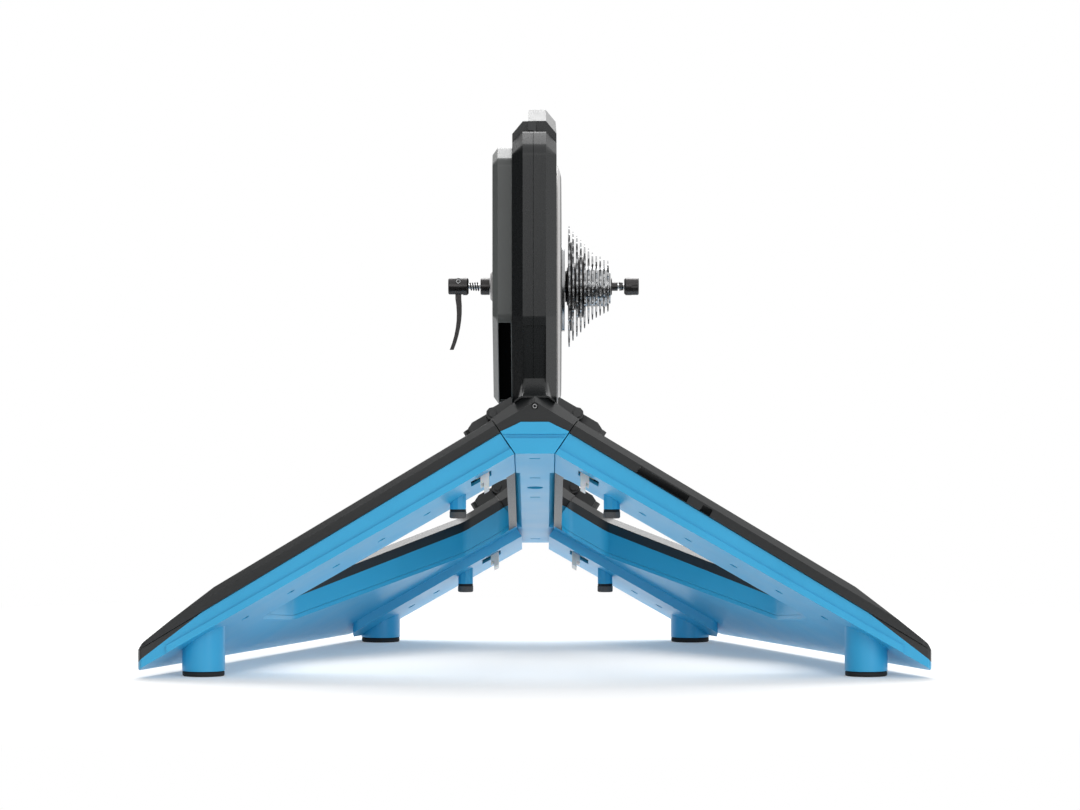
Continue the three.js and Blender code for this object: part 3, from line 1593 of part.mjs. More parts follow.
function skewerNut() {
  const end = nutStart + nutLength;
  const body = turned([
    [0, nutStart],
    [nutRadius - nutChamfer, nutStart],
    [nutRadius, nutStart + nutChamfer],
    [nutRadius, end - nutChamfer / 2],
    [nutRadius - nutChamfer / 2, end],
    [0, end],
  ]);
  let nut = body.subtract(rod(skewerRadius + gap, nutStart - overrun, nutStart + nutGrip));
  const fluteCentre = nutRadius + nutFluteRadius / 2;
  for (let i = 0; i < nutFluteCount; i++) {
    const angle = (2 * Math.PI * i) / nutFluteCount;
    nut = nut.subtract(
      satelliteRod(nutFluteRadius, fluteCentre, angle, nutStart + nutLength / 2, end + overrun),
    );
  }
  return nut;
}

piece('skewer_head', skewerHead(), darkSteel, axleLine);
placed(piece('release_lever', lever(), darkSteel, axleLine), camX, 0, camRise);
const skewerRod = rod(skewerRadius, headSlotFloor + skewerSlack, nutStart + nutGrip - skewerSlack);
piece('skewer_rod', skewerRod, steel, axleLine);
piece('skewer_nut', skewerNut(), darkSteel, axleLine);
const leftSpring = coneSpring(
  headInner + springSeat,
  leftCapFace - springFoot,
  springNarrowRadius,
  springWideRadius,
  leftSpringTurns,
);
const rightSpring = coneSpring(
  rightCapFace + springFoot,
  nutStart - springSeat,
  springWideRadius,
  springNarrowRadius,
  rightSpringTurns,
);
piece('skewer_spring_left', leftSpring, darkSteel, axleLine);
piece('skewer_spring_right', rightSpring, darkSteel, axleLine);

export default stand;
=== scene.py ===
"""Dresses a direct drive bike trainer: wings, spine, motor housing, cassette and quick release."""

import json
import math

import bmesh
import bpy
from mathutils import Matrix, Vector

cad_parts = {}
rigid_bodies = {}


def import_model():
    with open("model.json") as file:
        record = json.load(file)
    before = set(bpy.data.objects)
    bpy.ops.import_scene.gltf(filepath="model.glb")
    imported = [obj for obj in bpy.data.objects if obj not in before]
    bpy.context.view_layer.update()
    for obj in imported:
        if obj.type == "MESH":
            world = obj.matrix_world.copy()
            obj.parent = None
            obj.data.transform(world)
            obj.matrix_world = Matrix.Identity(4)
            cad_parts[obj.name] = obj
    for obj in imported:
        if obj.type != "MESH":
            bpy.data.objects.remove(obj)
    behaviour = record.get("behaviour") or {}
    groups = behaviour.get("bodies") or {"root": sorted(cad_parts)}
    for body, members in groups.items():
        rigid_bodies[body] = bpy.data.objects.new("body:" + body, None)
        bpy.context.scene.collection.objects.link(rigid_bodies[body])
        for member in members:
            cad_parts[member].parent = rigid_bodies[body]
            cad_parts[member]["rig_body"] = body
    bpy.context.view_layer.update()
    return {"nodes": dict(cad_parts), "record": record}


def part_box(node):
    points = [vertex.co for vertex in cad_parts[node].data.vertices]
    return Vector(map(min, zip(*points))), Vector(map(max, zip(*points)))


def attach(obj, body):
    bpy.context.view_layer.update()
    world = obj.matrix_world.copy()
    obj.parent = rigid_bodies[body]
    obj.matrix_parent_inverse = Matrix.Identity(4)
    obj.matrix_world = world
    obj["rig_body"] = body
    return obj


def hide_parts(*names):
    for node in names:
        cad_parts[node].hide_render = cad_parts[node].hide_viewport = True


bl_info = {
    "name": "Direct Drive Bike Trainer",
    "version": (1, 0, 0),
    "blender": (4, 5, 0),
    "location": "View3D > Sidebar > Trainer",
    "description": "Dresses a direct drive bike trainer with finished surfaces and small parts",
    "category": "Add Mesh",
}

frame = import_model()

SIDES = ("left", "right")
ENDS = ("rear", "front")

# How near a plane a face's middle may lie and still count as on it
NEAR = 0.00005


def box_middle(name):
    """The middle of a CAD node's box."""
    low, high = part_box(name)
    return (low + high) / 2


# The motor's axle, and the point in which it crosses the middle plane
AXLE_Y = box_middle("hollow_axle").y
AXLE_Z = box_middle("hollow_axle").z
AXLE_POINT = (0.0, AXLE_Y, AXLE_Z)

# The line of the rear feet, and the rear face of the wings
FEET_Y = box_middle("foot_pad_rear_left").y
WING_REAR_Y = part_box("wing_cover_right")[0].y

# The plane between castings and covers: its height in the middle, on the line of the rear feet, and
# how much it falls for each metre outwards and forwards
PARTING_HEIGHT = 0.2417
TOP_FALL = 0.6
PITCH = 0.187


class TrainerSizes(bpy.types.PropertyGroup):
    """Sizes of the edges and small parts that the frame leaves plain"""

    plastic_edge: bpy.props.FloatProperty(
        name="Plastic edge", description="Rounding of the moulded covers' edges",
        default=0.0012, min=0.0001, unit="LENGTH",
    )
    casting_edge: bpy.props.FloatProperty(
        name="Casting edge", description="Rounding of the painted castings' edges",
        default=0.0009, min=0.0001, unit="LENGTH",
    )
    metal_edge: bpy.props.FloatProperty(
        name="Metal edge", description="Rounding of the turned steel parts' edges",
        default=0.0004, min=0.00005, unit="LENGTH",
    )
    chain_pitch: bpy.props.FloatProperty(
        name="Chain pitch", description="Distance between two teeth along the chain",
        default=0.0127, min=0.001, unit="LENGTH",
    )
    tooth_height: bpy.props.FloatProperty(
        name="Tooth height", description="Reach of a tooth beyond the pitch circle",
        default=0.0027, min=0.0, unit="LENGTH",
    )
    tooth_depth: bpy.props.FloatProperty(
        name="Tooth depth", description="Depth of the valleys below the pitch circle",
        default=0.0038, min=0.0, unit="LENGTH",
    )
    spring_wire: bpy.props.FloatProperty(
        name="Spring wire", description="Radius of the wire of the conical springs",
        default=0.00055, min=0.0001, unit="LENGTH",
    )
    floor_reach: bpy.props.FloatProperty(
        name="Floor reach", description="Half the width of the studio floor",
        default=12.0, min=1.0, unit="LENGTH",
    )


def hex_property(name, description, default):
    """A colour of the sidebar, held as its sRGB hex value."""
    return bpy.props.StringProperty(name=name, description=description, default=default, maxlen=7)


class TrainerColours(bpy.types.PropertyGroup):
    """Colours of the finishes, as sRGB hex values"""

    blue_paint: hex_property("Blue paint", "Powder coat of the castings", "#2C9FCE")
    black_plastic: hex_property("Black plastic", "Moulded housing and covers", "#1A1C1D")
    satin_plastic: hex_property("Satin plastic", "Painted cover on the motor's left side", "#5A5D5C")
    # Light grey painted as the highlight on the right cover's rim; the left boss is given the same grey
    rim_highlight_grey: hex_property("Rim highlight grey", "Rim of the right cover and the left boss", "#B4B2B1")
    black_rubber: hex_property("Black rubber", "Foot pads and the collars of the peg tips", "#0E0F10")
    grey_rubber: hex_property("Grey rubber", "Peg tips", "#4E4B4A")
    pale_nylon: hex_property("Pale nylon", "Sliding latches", "#C3C5C4")
    black_oxide: hex_property("Black oxide", "Blackened steel parts", "#454444")
    bright_steel: hex_property("Bright steel", "Plated and machined steel", "#C9CACB")
    gloss_inlay: hex_property("Gloss inlay", "Plain gloss inlays of the right cover", "#08090A")
    floor: hex_property("Floor", "Studio floor", "#FBFBFB")


def sizes():
    """The sizes of the sidebar."""
    return bpy.context.scene.trainer_sizes


def linear(hex_value):
    """An sRGB hex value as the linear colour that a shader socket takes."""
    channels = [int(hex_value[i:i + 2], 16) / 255 for i in (1, 3, 5)]
    levels = [c / 12.92 if c <= 0.04045 else ((c + 0.055) / 1.055) ** 2.4 for c in channels]
    return (*levels, 1.0)


# Materials

made_materials = {}

# Most of a noise's values lie between these two
NOISE_LOW = 0.3
NOISE_HIGH = 0.7


def node(tree, kind, settings=None, links=None):
    """Adds a node, sets its inputs and attributes, and links sources into its inputs."""
    made = tree.nodes.new(kind)
    for name, value in (settings or {}).items():
        if isinstance(name, int) or name in made.inputs:
            made.inputs[name].default_value = value
        else:
            setattr(made, name, value)
    for name, source in (links or {}).items():
        tree.links.new(source, made.inputs[name])
    return made


def begun(name):
    """A new material with an empty node tree."""
    material = bpy.data.materials.new(name)
    material.use_nodes = True
    material.node_tree.nodes.clear()
    return material, material.node_tree


def finished(material, tree, shader):
    """Links the last shader to the material's output, and keeps the material under its name."""
    node(tree, "ShaderNodeOutputMaterial", links={"Surface": shader.outputs[0]})
    made_materials[material.name] = material


def shade(hex_value, share):
    """A hex colour with its channels multiplied by share."""
    channels = [min(255, round(int(hex_value[i:i + 2], 16) * share)) for i in (1, 3, 5)]
    return "#" + "".join(f"{c:02X}" for c in channels)


def surface(name, dark, light, settings, mottle, skin=None, gloss=None, mottled_gloss=False, bump=None):
    """A finish whose colour goes from dark to light with one noise, the mottle.

    mottle and skin are a noise each: the size of its cells in millimetres, and its detail. gloss is the
    lowest and highest roughness, and bump its strength and height. Both follow the skin, which is the
    mottle where there is none, unless the gloss is told to follow the mottle.
    """
    material, tree = begun(name)
    place = node(tree, "ShaderNodeTexCoord")
    grains = [
        node(
            tree, "ShaderNodeTexNoise",
            {"Scale": 1000 / size_mm, "Detail": detail, "Roughness": 0.5},
            {"Vector": place.outputs["Object"]},
        )
        for size_mm, detail in filter(None, (mottle, skin))
    ]
    broad = grains[0].outputs["Fac"]
    fine = grains[-1].outputs["Fac"]
    tint = node(
        tree, "ShaderNodeMix", {"data_type": "RGBA", 6: linear(dark), 7: linear(light)}, {0: broad},
    )
    links = {"Base Color": tint.outputs[2]}
    if gloss:
        low, high = gloss
        spread = node(
            tree, "ShaderNodeMapRange",
            {"From Min": NOISE_LOW, "From Max": NOISE_HIGH, "To Min": low, "To Max": high},
            {"Value": broad if mottled_gloss else fine},
        )
        links["Roughness"] = spread.outputs[0]
    if bump:
        strength, height = bump
        lifted = node(
            tree, "ShaderNodeBump", {"Strength": strength, "Distance": height}, {"Height": fine},
        )
        links["Normal"] = lifted.outputs[0]
    shader = node(tree, "ShaderNodeBsdfPrincipled", settings, links)
    finished(material, tree, shader)


def powder_coat(colour):
    """Powder coat on die-cast aluminium: an even colour under a smooth skin with slight orange peel."""
    surface(
        "powder_coat_blue", shade(colour, 0.97), shade(colour, 1.03), {"IOR": 1.5},
        mottle=(60.0, 2.0), skin=(2.2, 2.0), gloss=(0.32, 0.4), mottled_gloss=True, bump=(0.05, 0.0003),
    )


def moulded_plastic(name, colour, gloss, grain_mm, strength):
    """Injection-moulded ABS, with an eroded or painted grain that breaks up its highlights.

    The real grain is about a tenth of a millimetre, and is drawn coarser so that it shows.
    """
    surface(
        name, shade(colour, 0.95), shade(colour, 1.06), {"IOR": 1.53},
        mottle=(45.0, 2.0), skin=(grain_mm, 3.0), gloss=gloss, bump=(strength, 0.0002),
    )


def painted_shade_lining():
    """Near-black lining of a recess that paints its shade: without gloss, faintly mottled, so that it
    reads as depth.
    """
    surface(
        "painted_shade_black", "#020202", "#060606", {"IOR": 1.08, "Roughness": 0.9}, mottle=(1.6, 2.0),
    )


def moulded_rubber(name, colour):
    """Moulded rubber: dull, with a faint bloom where it is rubbed."""
    surface(
        name, shade(colour, 0.85), shade(colour, 1.25), {"IOR": 1.52, "Roughness": 0.78},
        mottle=(1.0, 4.0), bump=(0.2, 0.0002),
    )


def natural_nylon(colour):
    """Unpigmented moulded nylon: milky, with some light passing under its surface."""
    surface(
        "natural_nylon", shade(colour, 0.95), shade(colour, 1.03),
        {"IOR": 1.53, "Roughness": 0.38, "Subsurface Weight": 0.35, "Subsurface Scale": 0.003},
        mottle=(6.0, 2.0),
    )


def oxide_steel(colour):
    """Turned steel with a black oxide skin: dark metal, with an uneven sheen in its highlights.

    The turning marks are finer than the render shows, and are drawn as a coarser, even mottle.
    """
    surface(
        "black_oxide_steel", shade(colour, 0.8), shade(colour, 1.3), {"Metallic": 0.9},
        mottle=(0.8, 3.0), gloss=(0.22, 0.38),
    )


def plated_steel(colour):
    """Nickel-plated stamped steel: bright, with a fine unevenness that spreads its reflections.

    The marks of the stamping are finer than the render shows, and are drawn coarser.
    """
    surface(
        "nickel_plated_steel", shade(colour, 0.9), shade(colour, 1.05), {"Metallic": 1.0},
        mottle=(0.6, 3.0), gloss=(0.18, 0.3),
    )


def gloss_plastic(colour):
    """Polished black ABS inlay: a dark body under a clear, mirror-like skin."""
    surface(
        "polished_abs", shade(colour, 0.8), shade(colour, 1.3), {"IOR": 1.54, "Roughness": 0.08},
        mottle=(20.0, 2.0),
    )


def enamelled_copper():
    """Enamelled copper wire on the stator: metal, mottled at random from dark to light amber."""
    surface(
        "enamelled_copper", "#7A3E22", "#C07A4A", {"Metallic": 0.8, "Roughness": 0.35},
        mottle=(1.2, 2.0),
    )


def solder_mask():
    """Green solder mask on glass fibre board, slightly mottled by the weave."""
    surface(
        "solder_mask", "#174B2E", "#22663F", {"IOR": 1.5, "Roughness": 0.4}, mottle=(0.9, 2.0),
    )


def make_materials():
    """Makes every finish once, in the colours of the sidebar."""
    colours = bpy.context.scene.trainer_colours
    powder_coat(colours.blue_paint)
    moulded_plastic("moulded_abs_shell", colours.black_plastic, (0.24, 0.34), 0.9, 0.1)
    moulded_plastic("moulded_abs_cover", colours.black_plastic, (0.34, 0.46), 1.1, 0.2)
    moulded_plastic("satin_painted_abs", colours.satin_plastic, (0.28, 0.38), 1.4, 0.08)
    # Light grey for the painted highlight on the right cover's rim, also given to the left boss
    moulded_plastic("rim_highlight_abs", colours.rim_highlight_grey, (0.3, 0.4), 1.4, 0.05)
    # Near-black lining that paints the shade in the left cover's recess
    painted_shade_lining()
    moulded_rubber("moulded_rubber", colours.black_rubber)
    moulded_rubber("grey_rubber", colours.grey_rubber)
    natural_nylon(colours.pale_nylon)
    oxide_steel(colours.black_oxide)
    plated_steel(colours.bright_steel)
    gloss_plastic(colours.gloss_inlay)
    enamelled_copper()
    solder_mask()


# The finish of each material slot of the record
SLOT_FINISH = {
    "blue_paint": "powder_coat_blue",
    "cover_plastic": "moulded_abs_cover",
    "shell_plastic": "moulded_abs_shell",
    "black_rubber": "moulded_rubber",
    "pale_nylon": "natural_nylon",
    "dark_steel": "black_oxide_steel",
    "bright_steel": "nickel_plated_steel",
    "windings": "enamelled_copper",
    "board": "solder_mask",
}

# The slot and the body of each CAD node
NODE_SLOT = {row["node"]: row["material_slot"] for row in frame["record"]["subparts"]}
NODE_BODY = {name: made["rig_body"] for name, made in frame["nodes"].items()}


# Shaping

# Points nearer than these are one, in a CAD node and in a shape made here, and neighbouring faces that
# turn less than this are one flat face
MERGED = 0.00001
FINELY_MERGED = 0.000001
FLAT_DEGREES = 0.6

# Edges sharper than this stay crisp in the shading
CREASE_DEGREES = 40.0

# A recess: the least cosine between its face and its direction, and its walls' lean as a share of its
# margin
LOOKING_SHARE = 0.98
DRAFT_SHARE = 0.25


def piece_from(made, name, body, slot, replaced=(), finish=None, crease=CREASE_DEGREES, others=()):
    """Turns a bmesh into a named piece with its finishes, and lets it ride on a body."""
    mesh = bpy.data.meshes.new(name)
    made.to_mesh(mesh)
    made.free()
    mesh.shade_smooth()
    mesh.set_sharp_from_angle(angle=math.radians(crease))
    piece = bpy.data.objects.new(name, mesh)
    bpy.context.scene.collection.objects.link(piece)
    for shown in (finish or SLOT_FINISH[slot], *others):
        mesh.materials.append(made_materials[shown])
    weighted = piece.modifiers.new("weighted_normals", "WEIGHTED_NORMAL")
    weighted.keep_sharp = True
    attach(piece, body)
    if replaced:
        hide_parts(*replaced)


def stands_for(made, name, finish=None, crease=CREASE_DEGREES, others=()):
    """Turns a bmesh into the piece that replaces a CAD node, on its body and with its slot."""
    piece_from(
        made, name + "_dressed", NODE_BODY[name], NODE_SLOT[name], (name,), finish, crease, others,
    )


def rounded(made, width, segments=2, angle=30.0):
    """Rounds every edge that is sharper than an angle."""
    sharp = [
        e for e in made.edges
        if len(e.link_faces) == 2 and e.calc_face_angle(0.0) > math.radians(angle)
    ]
    bmesh.ops.bevel(
        made, geom=sharp, offset=width, offset_type="OFFSET", affect="EDGES", segments=segments,
        profile=0.5, material=-1, clamp_overlap=True,
    )


def merged_copy(name):
    """A CAD node's shape with its loose triangles merged and its flat faces made whole."""
    made = bmesh.new()
    made.from_mesh(frame["nodes"][name].data)
    bmesh.ops.remove_doubles(made, verts=made.verts[:], dist=MERGED)
    bmesh.ops.dissolve_limit(
        made, angle_limit=math.radians(FLAT_DEGREES), verts=made.verts[:], edges=made.edges[:],
        delimit={"NORMAL"},
    )
    return made


def dress(name, width, segments=2, angle=30.0, finish=None, shaped=None, painted=None, others=()):
    """Replaces a CAD node by the same shape, worked further, with rounded edges and its finishes."""
    made = merged_copy(name)
    if shaped:
        made = shaped(made)
    rounded(made, width, segments, angle)
    if painted:
        painted(made)
    stands_for(made, name, finish, others=others)


def halved(made, point, normal, beyond_goes=False):
    """Cuts a shape's faces along a plane, and takes away what lies beyond it if that is asked."""
    parts = bmesh.ops.bisect_plane(
        made, geom=made.verts[:] + made.edges[:] + made.faces[:], dist=FINELY_MERGED,
        plane_co=point, plane_no=normal, clear_inner=False, clear_outer=beyond_goes,
    )
    return [part for part in parts["geom_cut"] if isinstance(part, bmesh.types.BMEdge)]


def trimmed(made, point, normal):
    """Takes away what lies beyond a plane, and closes the cut."""
    edges = halved(made, point, normal, True)
    bmesh.ops.holes_fill(made, edges=edges, sides=0)


def refinished(made, index, wanted):
    """Gives the faces whose centres are wanted another of the piece's finishes."""
    for face in made.faces:
        if wanted(face.calc_center_median()):
            face.material_index = index


def recessed(made, direction, margin, depth, index):
    """Sinks the widest face that looks in a direction, inside a margin and in another finish."""
    facing = Vector(direction).normalized()
    looking = [face for face in made.faces if face.normal.dot(facing) > LOOKING_SHARE]
    face = max(looking, key=lambda found: found.calc_area())
    for thickness, sunk in ((margin, 0.0), (margin * DRAFT_SHARE, depth)):
        bmesh.ops.inset_region(
            made, faces=[face], thickness=thickness, depth=-sunk, use_even_offset=True,
        )
    face.material_index = index


def repaint(name):
    """Keeps a CAD node's shape and gives it the finish of its slot."""
    shown = frame["nodes"][name]
    shown.data.materials.clear()
    shown.data.materials.append(made_materials[SLOT_FINISH[NODE_SLOT[name]]])


def lathe(profile, centre, segments=64, edge=0.0):
    """A closed shape turned about X through centre, from a profile of (x, radius)."""
    made = bmesh.new()
    verts = [made.verts.new((x, 0.0, radius)) for x, radius in profile]
    edges = [made.edges.new(pair) for pair in zip(verts, verts[1:] + verts[:1])]
    bmesh.ops.spin(
        made, geom=verts + edges, cent=(0, 0, 0), axis=(1, 0, 0), dvec=(0, 0, 0),
        angle=math.tau, steps=segments, use_merge=True, use_duplicate=False,
    )
    bmesh.ops.remove_doubles(made, verts=made.verts[:], dist=FINELY_MERGED)
    bmesh.ops.recalc_face_normals(made, faces=made.faces[:])
    if edge > 0:
        rounded(made, edge)
    bmesh.ops.translate(made, verts=made.verts[:], vec=centre)
    return made


def flat_face(points):
    """A single face with its corners at the given points."""
    made = bmesh.new()
    ring = bmesh.ops.create_circle(made, cap_ends=True, radius=1.0, segments=len(points))["verts"]
    for vert, point in zip(ring, points):
        vert.co = point
    return made


def thickened(made, vec):
    """Extrudes all faces by a vector, and gives back the points of the far side."""
    thick = bmesh.ops.extrude_face_region(made, geom=made.faces[:])["geom"]
    moved = [part for part in thick if isinstance(part, bmesh.types.BMVert)]
    bmesh.ops.translate(made, verts=moved, vec=vec)
    bmesh.ops.recalc_face_normals(made, faces=made.faces[:])
    return moved


def turned(made, axis, degrees=90.0, place=(0, 0, 0)):
    """Turns a whole shape about an axis through the origin, and moves it to its place."""
    turn = Matrix.Rotation(math.radians(degrees), 3, axis)
    bmesh.ops.rotate(made, verts=made.verts[:], cent=(0, 0, 0), matrix=turn)
    bmesh.ops.translate(made, verts=made.verts[:], vec=place)


def bridged(made, loops):
    """Joins each loop of edges to the next one with faces."""
    for first, second in zip(loops, loops[1:]):
        bmesh.ops.bridge_loops(made, edges=first + second)


def loose_object(name, made):
    """A bmesh as an object that is used for a cut and then removed."""
    mesh = bpy.data.meshes.new(name)
    made.to_mesh(mesh)
    made.free()
    shown = bpy.data.objects.new(name, mesh)
    bpy.context.scene.collection.objects.link(shown)
    return shown


def cut(made, tools):
    """Subtracts solids from a bmesh with Blender's Boolean."""
    base = loose_object("cut_base", made)
    tool = loose_object("cut_tool", tools)
    modifier = base.modifiers.new("cut", "BOOLEAN")
    modifier.object = tool
    modifier.operation = "DIFFERENCE"
    modifier.solver = "EXACT"
    bpy.context.view_layer.update()
    evaluated = base.evaluated_get(bpy.context.evaluated_depsgraph_get())
    result = bmesh.new()
    result.from_mesh(evaluated.to_mesh())
    evaluated.to_mesh_clear()
    bpy.data.objects.remove(base)
    bpy.data.objects.remove(tool)
    return result


# Stage

# The camera behind the trainer: its lens and sensor in millimetres, its place, and its tilt downwards
LENS_MM = 147.6
SENSOR_MM = 36.0
CAMERA_PLACE = (0.00485, -4.417, 0.303)
CAMERA_TILT_DEGREES = 0.66

# The point that the softboxes look at, and each one's name, place, width and height, and power in watts
LOOKED_AT = (0.0, 0.0, 0.25)
SOFTBOXES = (
    ("key_softbox", (1.7, -3.1, 1.2), (0.8, 1.8), 28.0),
    ("fill_softbox", (-0.9, -3.8, 1.1), (0.8, 0.8), 15.0),
    ("back_softbox", (-0.1, 2.0, 2.5), (2.4, 2.4), 85.0),
)

# The paper's glow: the distances at which it starts to grow and is full, and its share near the trainer,
# which lightens the trainer's shadow as painted light
GLOW_START = 0.5
GLOW_FULL = 1.1
SHADOW_LIFTING_GLOW_SHARE = 0.2

# The paper shows near-black to reflections only, a painted dark reflection, nearer the camera than the
# first of these, or left of the second
DARK_REFLECTION_Y = -0.5
DARK_REFLECTION_X = -0.9
DARK_REFLECTION_STRENGTH = 0.03

# The studio's light, by a direction's x, y and z: where it is dark on the left and bright on the right,
# where it grows upwards, and where the white backdrop ahead starts and is full
LEFT_DARK_X = -0.75
RIGHT_LIGHT_X = 0.0
RIGHT_STRENGTH = 0.75
LOW_Z = 0.2
HIGH_Z = 1.0
TOP_STRENGTH = 0.3
BACKDROP_START_Y = 0.5
BACKDROP_FULL_Y = 0.85

WHITE = (1, 1, 1, 1)


def white_paper():
    """Seamless white paper: near the trainer a faint glow paints light into the trainer's shadow, and
    further out it glows fully so that it has no far edge.

    Behind and to the left it shows near-black to reflections only, a painted dark reflection.
    """
    material, tree = begun("white_paper")
    paper = node(
        tree, "ShaderNodeBsdfPrincipled",
        {"Base Color": linear(bpy.context.scene.trainer_colours.floor), "Roughness": 0.9, "IOR": 1.25},
    )
    glow = node(tree, "ShaderNodeEmission", {"Color": WHITE, "Strength": 1.0})
    place = node(tree, "ShaderNodeTexCoord")
    distance = node(
        tree, "ShaderNodeVectorMath", {"operation": "LENGTH"}, {0: place.outputs["Object"]},
    )
    # Near the trainer a share of glow paints light into its shadow
    fade = node(
        tree, "ShaderNodeMapRange",
        {
            "interpolation_type": "SMOOTHSTEP", "From Min": GLOW_START, "From Max": GLOW_FULL,
            "To Min": SHADOW_LIFTING_GLOW_SHARE, "To Max": 1.0,
        },
        {"Value": distance.outputs["Value"]},
    )
    sheet = node(
        tree, "ShaderNodeMixShader",
        links={0: fade.outputs[0], 1: paper.outputs[0], 2: glow.outputs[0]},
    )
    # A faint glow that only glossy rays see: painted dark reflection
    dark_reflection = node(tree, "ShaderNodeEmission", {"Color": WHITE, "Strength": DARK_REFLECTION_STRENGTH})
    axes = node(tree, "ShaderNodeSeparateXYZ", links={0: place.outputs["Object"]})
    behind = node(tree, "ShaderNodeMath", {"operation": "LESS_THAN", 1: DARK_REFLECTION_Y}, {0: axes.outputs[1]})
    beside = node(tree, "ShaderNodeMath", {"operation": "LESS_THAN", 1: DARK_REFLECTION_X}, {0: axes.outputs[0]})
    covered = node(
        tree, "ShaderNodeMath", {"operation": "MAXIMUM"}, {0: behind.outputs[0], 1: beside.outputs[0]},
    )
    path = node(tree, "ShaderNodeLightPath")
    darkened_reflection = node(
        tree, "ShaderNodeMath", {"operation": "MULTIPLY"},
        {0: covered.outputs[0], 1: path.outputs["Is Glossy Ray"]},
    )
    whole = node(
        tree, "ShaderNodeMixShader",
        links={0: darkened_reflection.outputs[0], 1: sheet.outputs[0], 2: dark_reflection.outputs[0]},
    )
    finished(material, tree, whole)
    return material


def studio_world():
    """White to the camera. To other rays, a white backdrop ahead, a bright right and a dark left."""
    world = bpy.data.worlds.new("studio")
    world.use_nodes = True
    tree = world.node_tree
    tree.nodes.clear()
    place = node(tree, "ShaderNodeTexCoord")
    axes = node(tree, "ShaderNodeSeparateXYZ", links={0: place.outputs["Generated"]})
    across = node(
        tree, "ShaderNodeMapRange",
        {
            "interpolation_type": "SMOOTHSTEP", "From Min": LEFT_DARK_X, "From Max": RIGHT_LIGHT_X,
            "To Min": 0.0, "To Max": RIGHT_STRENGTH,
        },
        {"Value": axes.outputs[0]},
    )
    above = node(
        tree, "ShaderNodeMapRange",
        {"From Min": LOW_Z, "From Max": HIGH_Z, "To Min": 0.0, "To Max": TOP_STRENGTH},
        {"Value": axes.outputs[2]},
    )
    studio = node(
        tree, "ShaderNodeMath", {"operation": "ADD"}, {0: across.outputs[0], 1: above.outputs[0]},
    )
    ahead = node(
        tree, "ShaderNodeMapRange",
        {"interpolation_type": "SMOOTHSTEP", "From Min": BACKDROP_START_Y, "From Max": BACKDROP_FULL_Y},
        {"Value": axes.outputs[1]},
    )
    level = node(
        tree, "ShaderNodeMix", {"data_type": "FLOAT", 3: 1.0},
        {0: ahead.outputs[0], 2: studio.outputs[0]},
    )
    lit = node(tree, "ShaderNodeBackground", {"Color": WHITE}, {"Strength": level.outputs[0]})
    white = node(tree, "ShaderNodeBackground", {"Color": WHITE, "Strength": 1.0})
    path = node(tree, "ShaderNodeLightPath")
    seen = node(
        tree, "ShaderNodeMath", {"operation": "MAXIMUM"},
        {0: path.outputs["Is Camera Ray"], 1: path.outputs["Is Transmission Ray"]},
    )
    mixed = node(
        tree, "ShaderNodeMixShader",
        links={0: seen.outputs[0], 1: lit.outputs[0], 2: white.outputs[0]},
    )
    node(tree, "ShaderNodeOutputWorld", links={"Surface": mixed.outputs[0]})
    return world


class TRAINER_OT_stage(bpy.types.Operator):
    """Adds the camera, the lights, the pale floor and the white surroundings"""

    bl_idname = "trainer.stage"
    bl_label = "Stage"

    def execute(self, context):
        scene = context.scene
        scene.view_settings.view_transform = "Standard"
        self.camera(scene)
        self.floor(scene)
        scene.world = studio_world()
        for name, place, extent, power in SOFTBOXES:
            self.softbox(scene, name, place, extent, power)
        return {"FINISHED"}

    def camera(self, scene):
        """The camera, low behind the trainer."""
        lens = bpy.data.cameras.new("camera")
        lens.sensor_width = SENSOR_MM
        lens.lens = LENS_MM
        camera = bpy.data.objects.new("camera", lens)
        scene.collection.objects.link(camera)
        camera.location = CAMERA_PLACE
        camera.rotation_euler = (math.radians(90 - CAMERA_TILT_DEGREES), 0, 0)
        scene.camera = camera

    def floor(self, scene):
        """A wide sheet of paper under the trainer."""
        made = bmesh.new()
        bmesh.ops.create_grid(made, x_segments=1, y_segments=1, size=sizes().floor_reach)
        mesh = bpy.data.meshes.new("studio_floor")
        made.to_mesh(mesh)
        made.free()
        floor = bpy.data.objects.new("studio_floor", mesh)
        scene.collection.objects.link(floor)
        mesh.materials.append(white_paper())

    def softbox(self, scene, name, place, extent, power):
        """A rectangular lamp that looks at the trainer."""
        light = bpy.data.lights.new(name, "AREA")
        light.shape = "RECTANGLE"
        light.size, light.size_y = extent
        light.energy = power
        lamp = bpy.data.objects.new(name, light)
        scene.collection.objects.link(lamp)
        lamp.location = place
        lamp.rotation_mode = "QUATERNION"
        lamp.rotation_quaternion = (Vector(LOOKED_AT) - lamp.location).to_track_quat("-Z", "Y")


# Wings

# The line from which the black cover wraps down over the casting's tip
WRAP_FALL = 0.77
WRAP_HEIGHT = 0.2947

# The blunt nose at the tip: where its two slanted faces start, and how they slant
NOSE_X = 0.375
NOSE_LOW_Z = 0.016
NOSE_HIGH_Z = 0.0195
NOSE_OUT = 0.857
NOSE_RISE = 0.514

# The black lip beside the spine: half its width, and its ends ahead of the rear feet
LIP_X = 0.0275
LIP_START = 0.072
LIP_END = 0.418

# The cap over the front beam's outer corner: its corners in x and y, its foot, and its sloping top
BEAM_CAP = (
    (0.1749, 0.2783), (0.1868, 0.2590), (0.1868, 0.2720), (0.1852, 0.2762), (0.1805, 0.2783),
)
BEAM_CAP_FOOT = 0.0085
BEAM_CAP_TOP = 0.17124
UNDER_FALL = 0.573

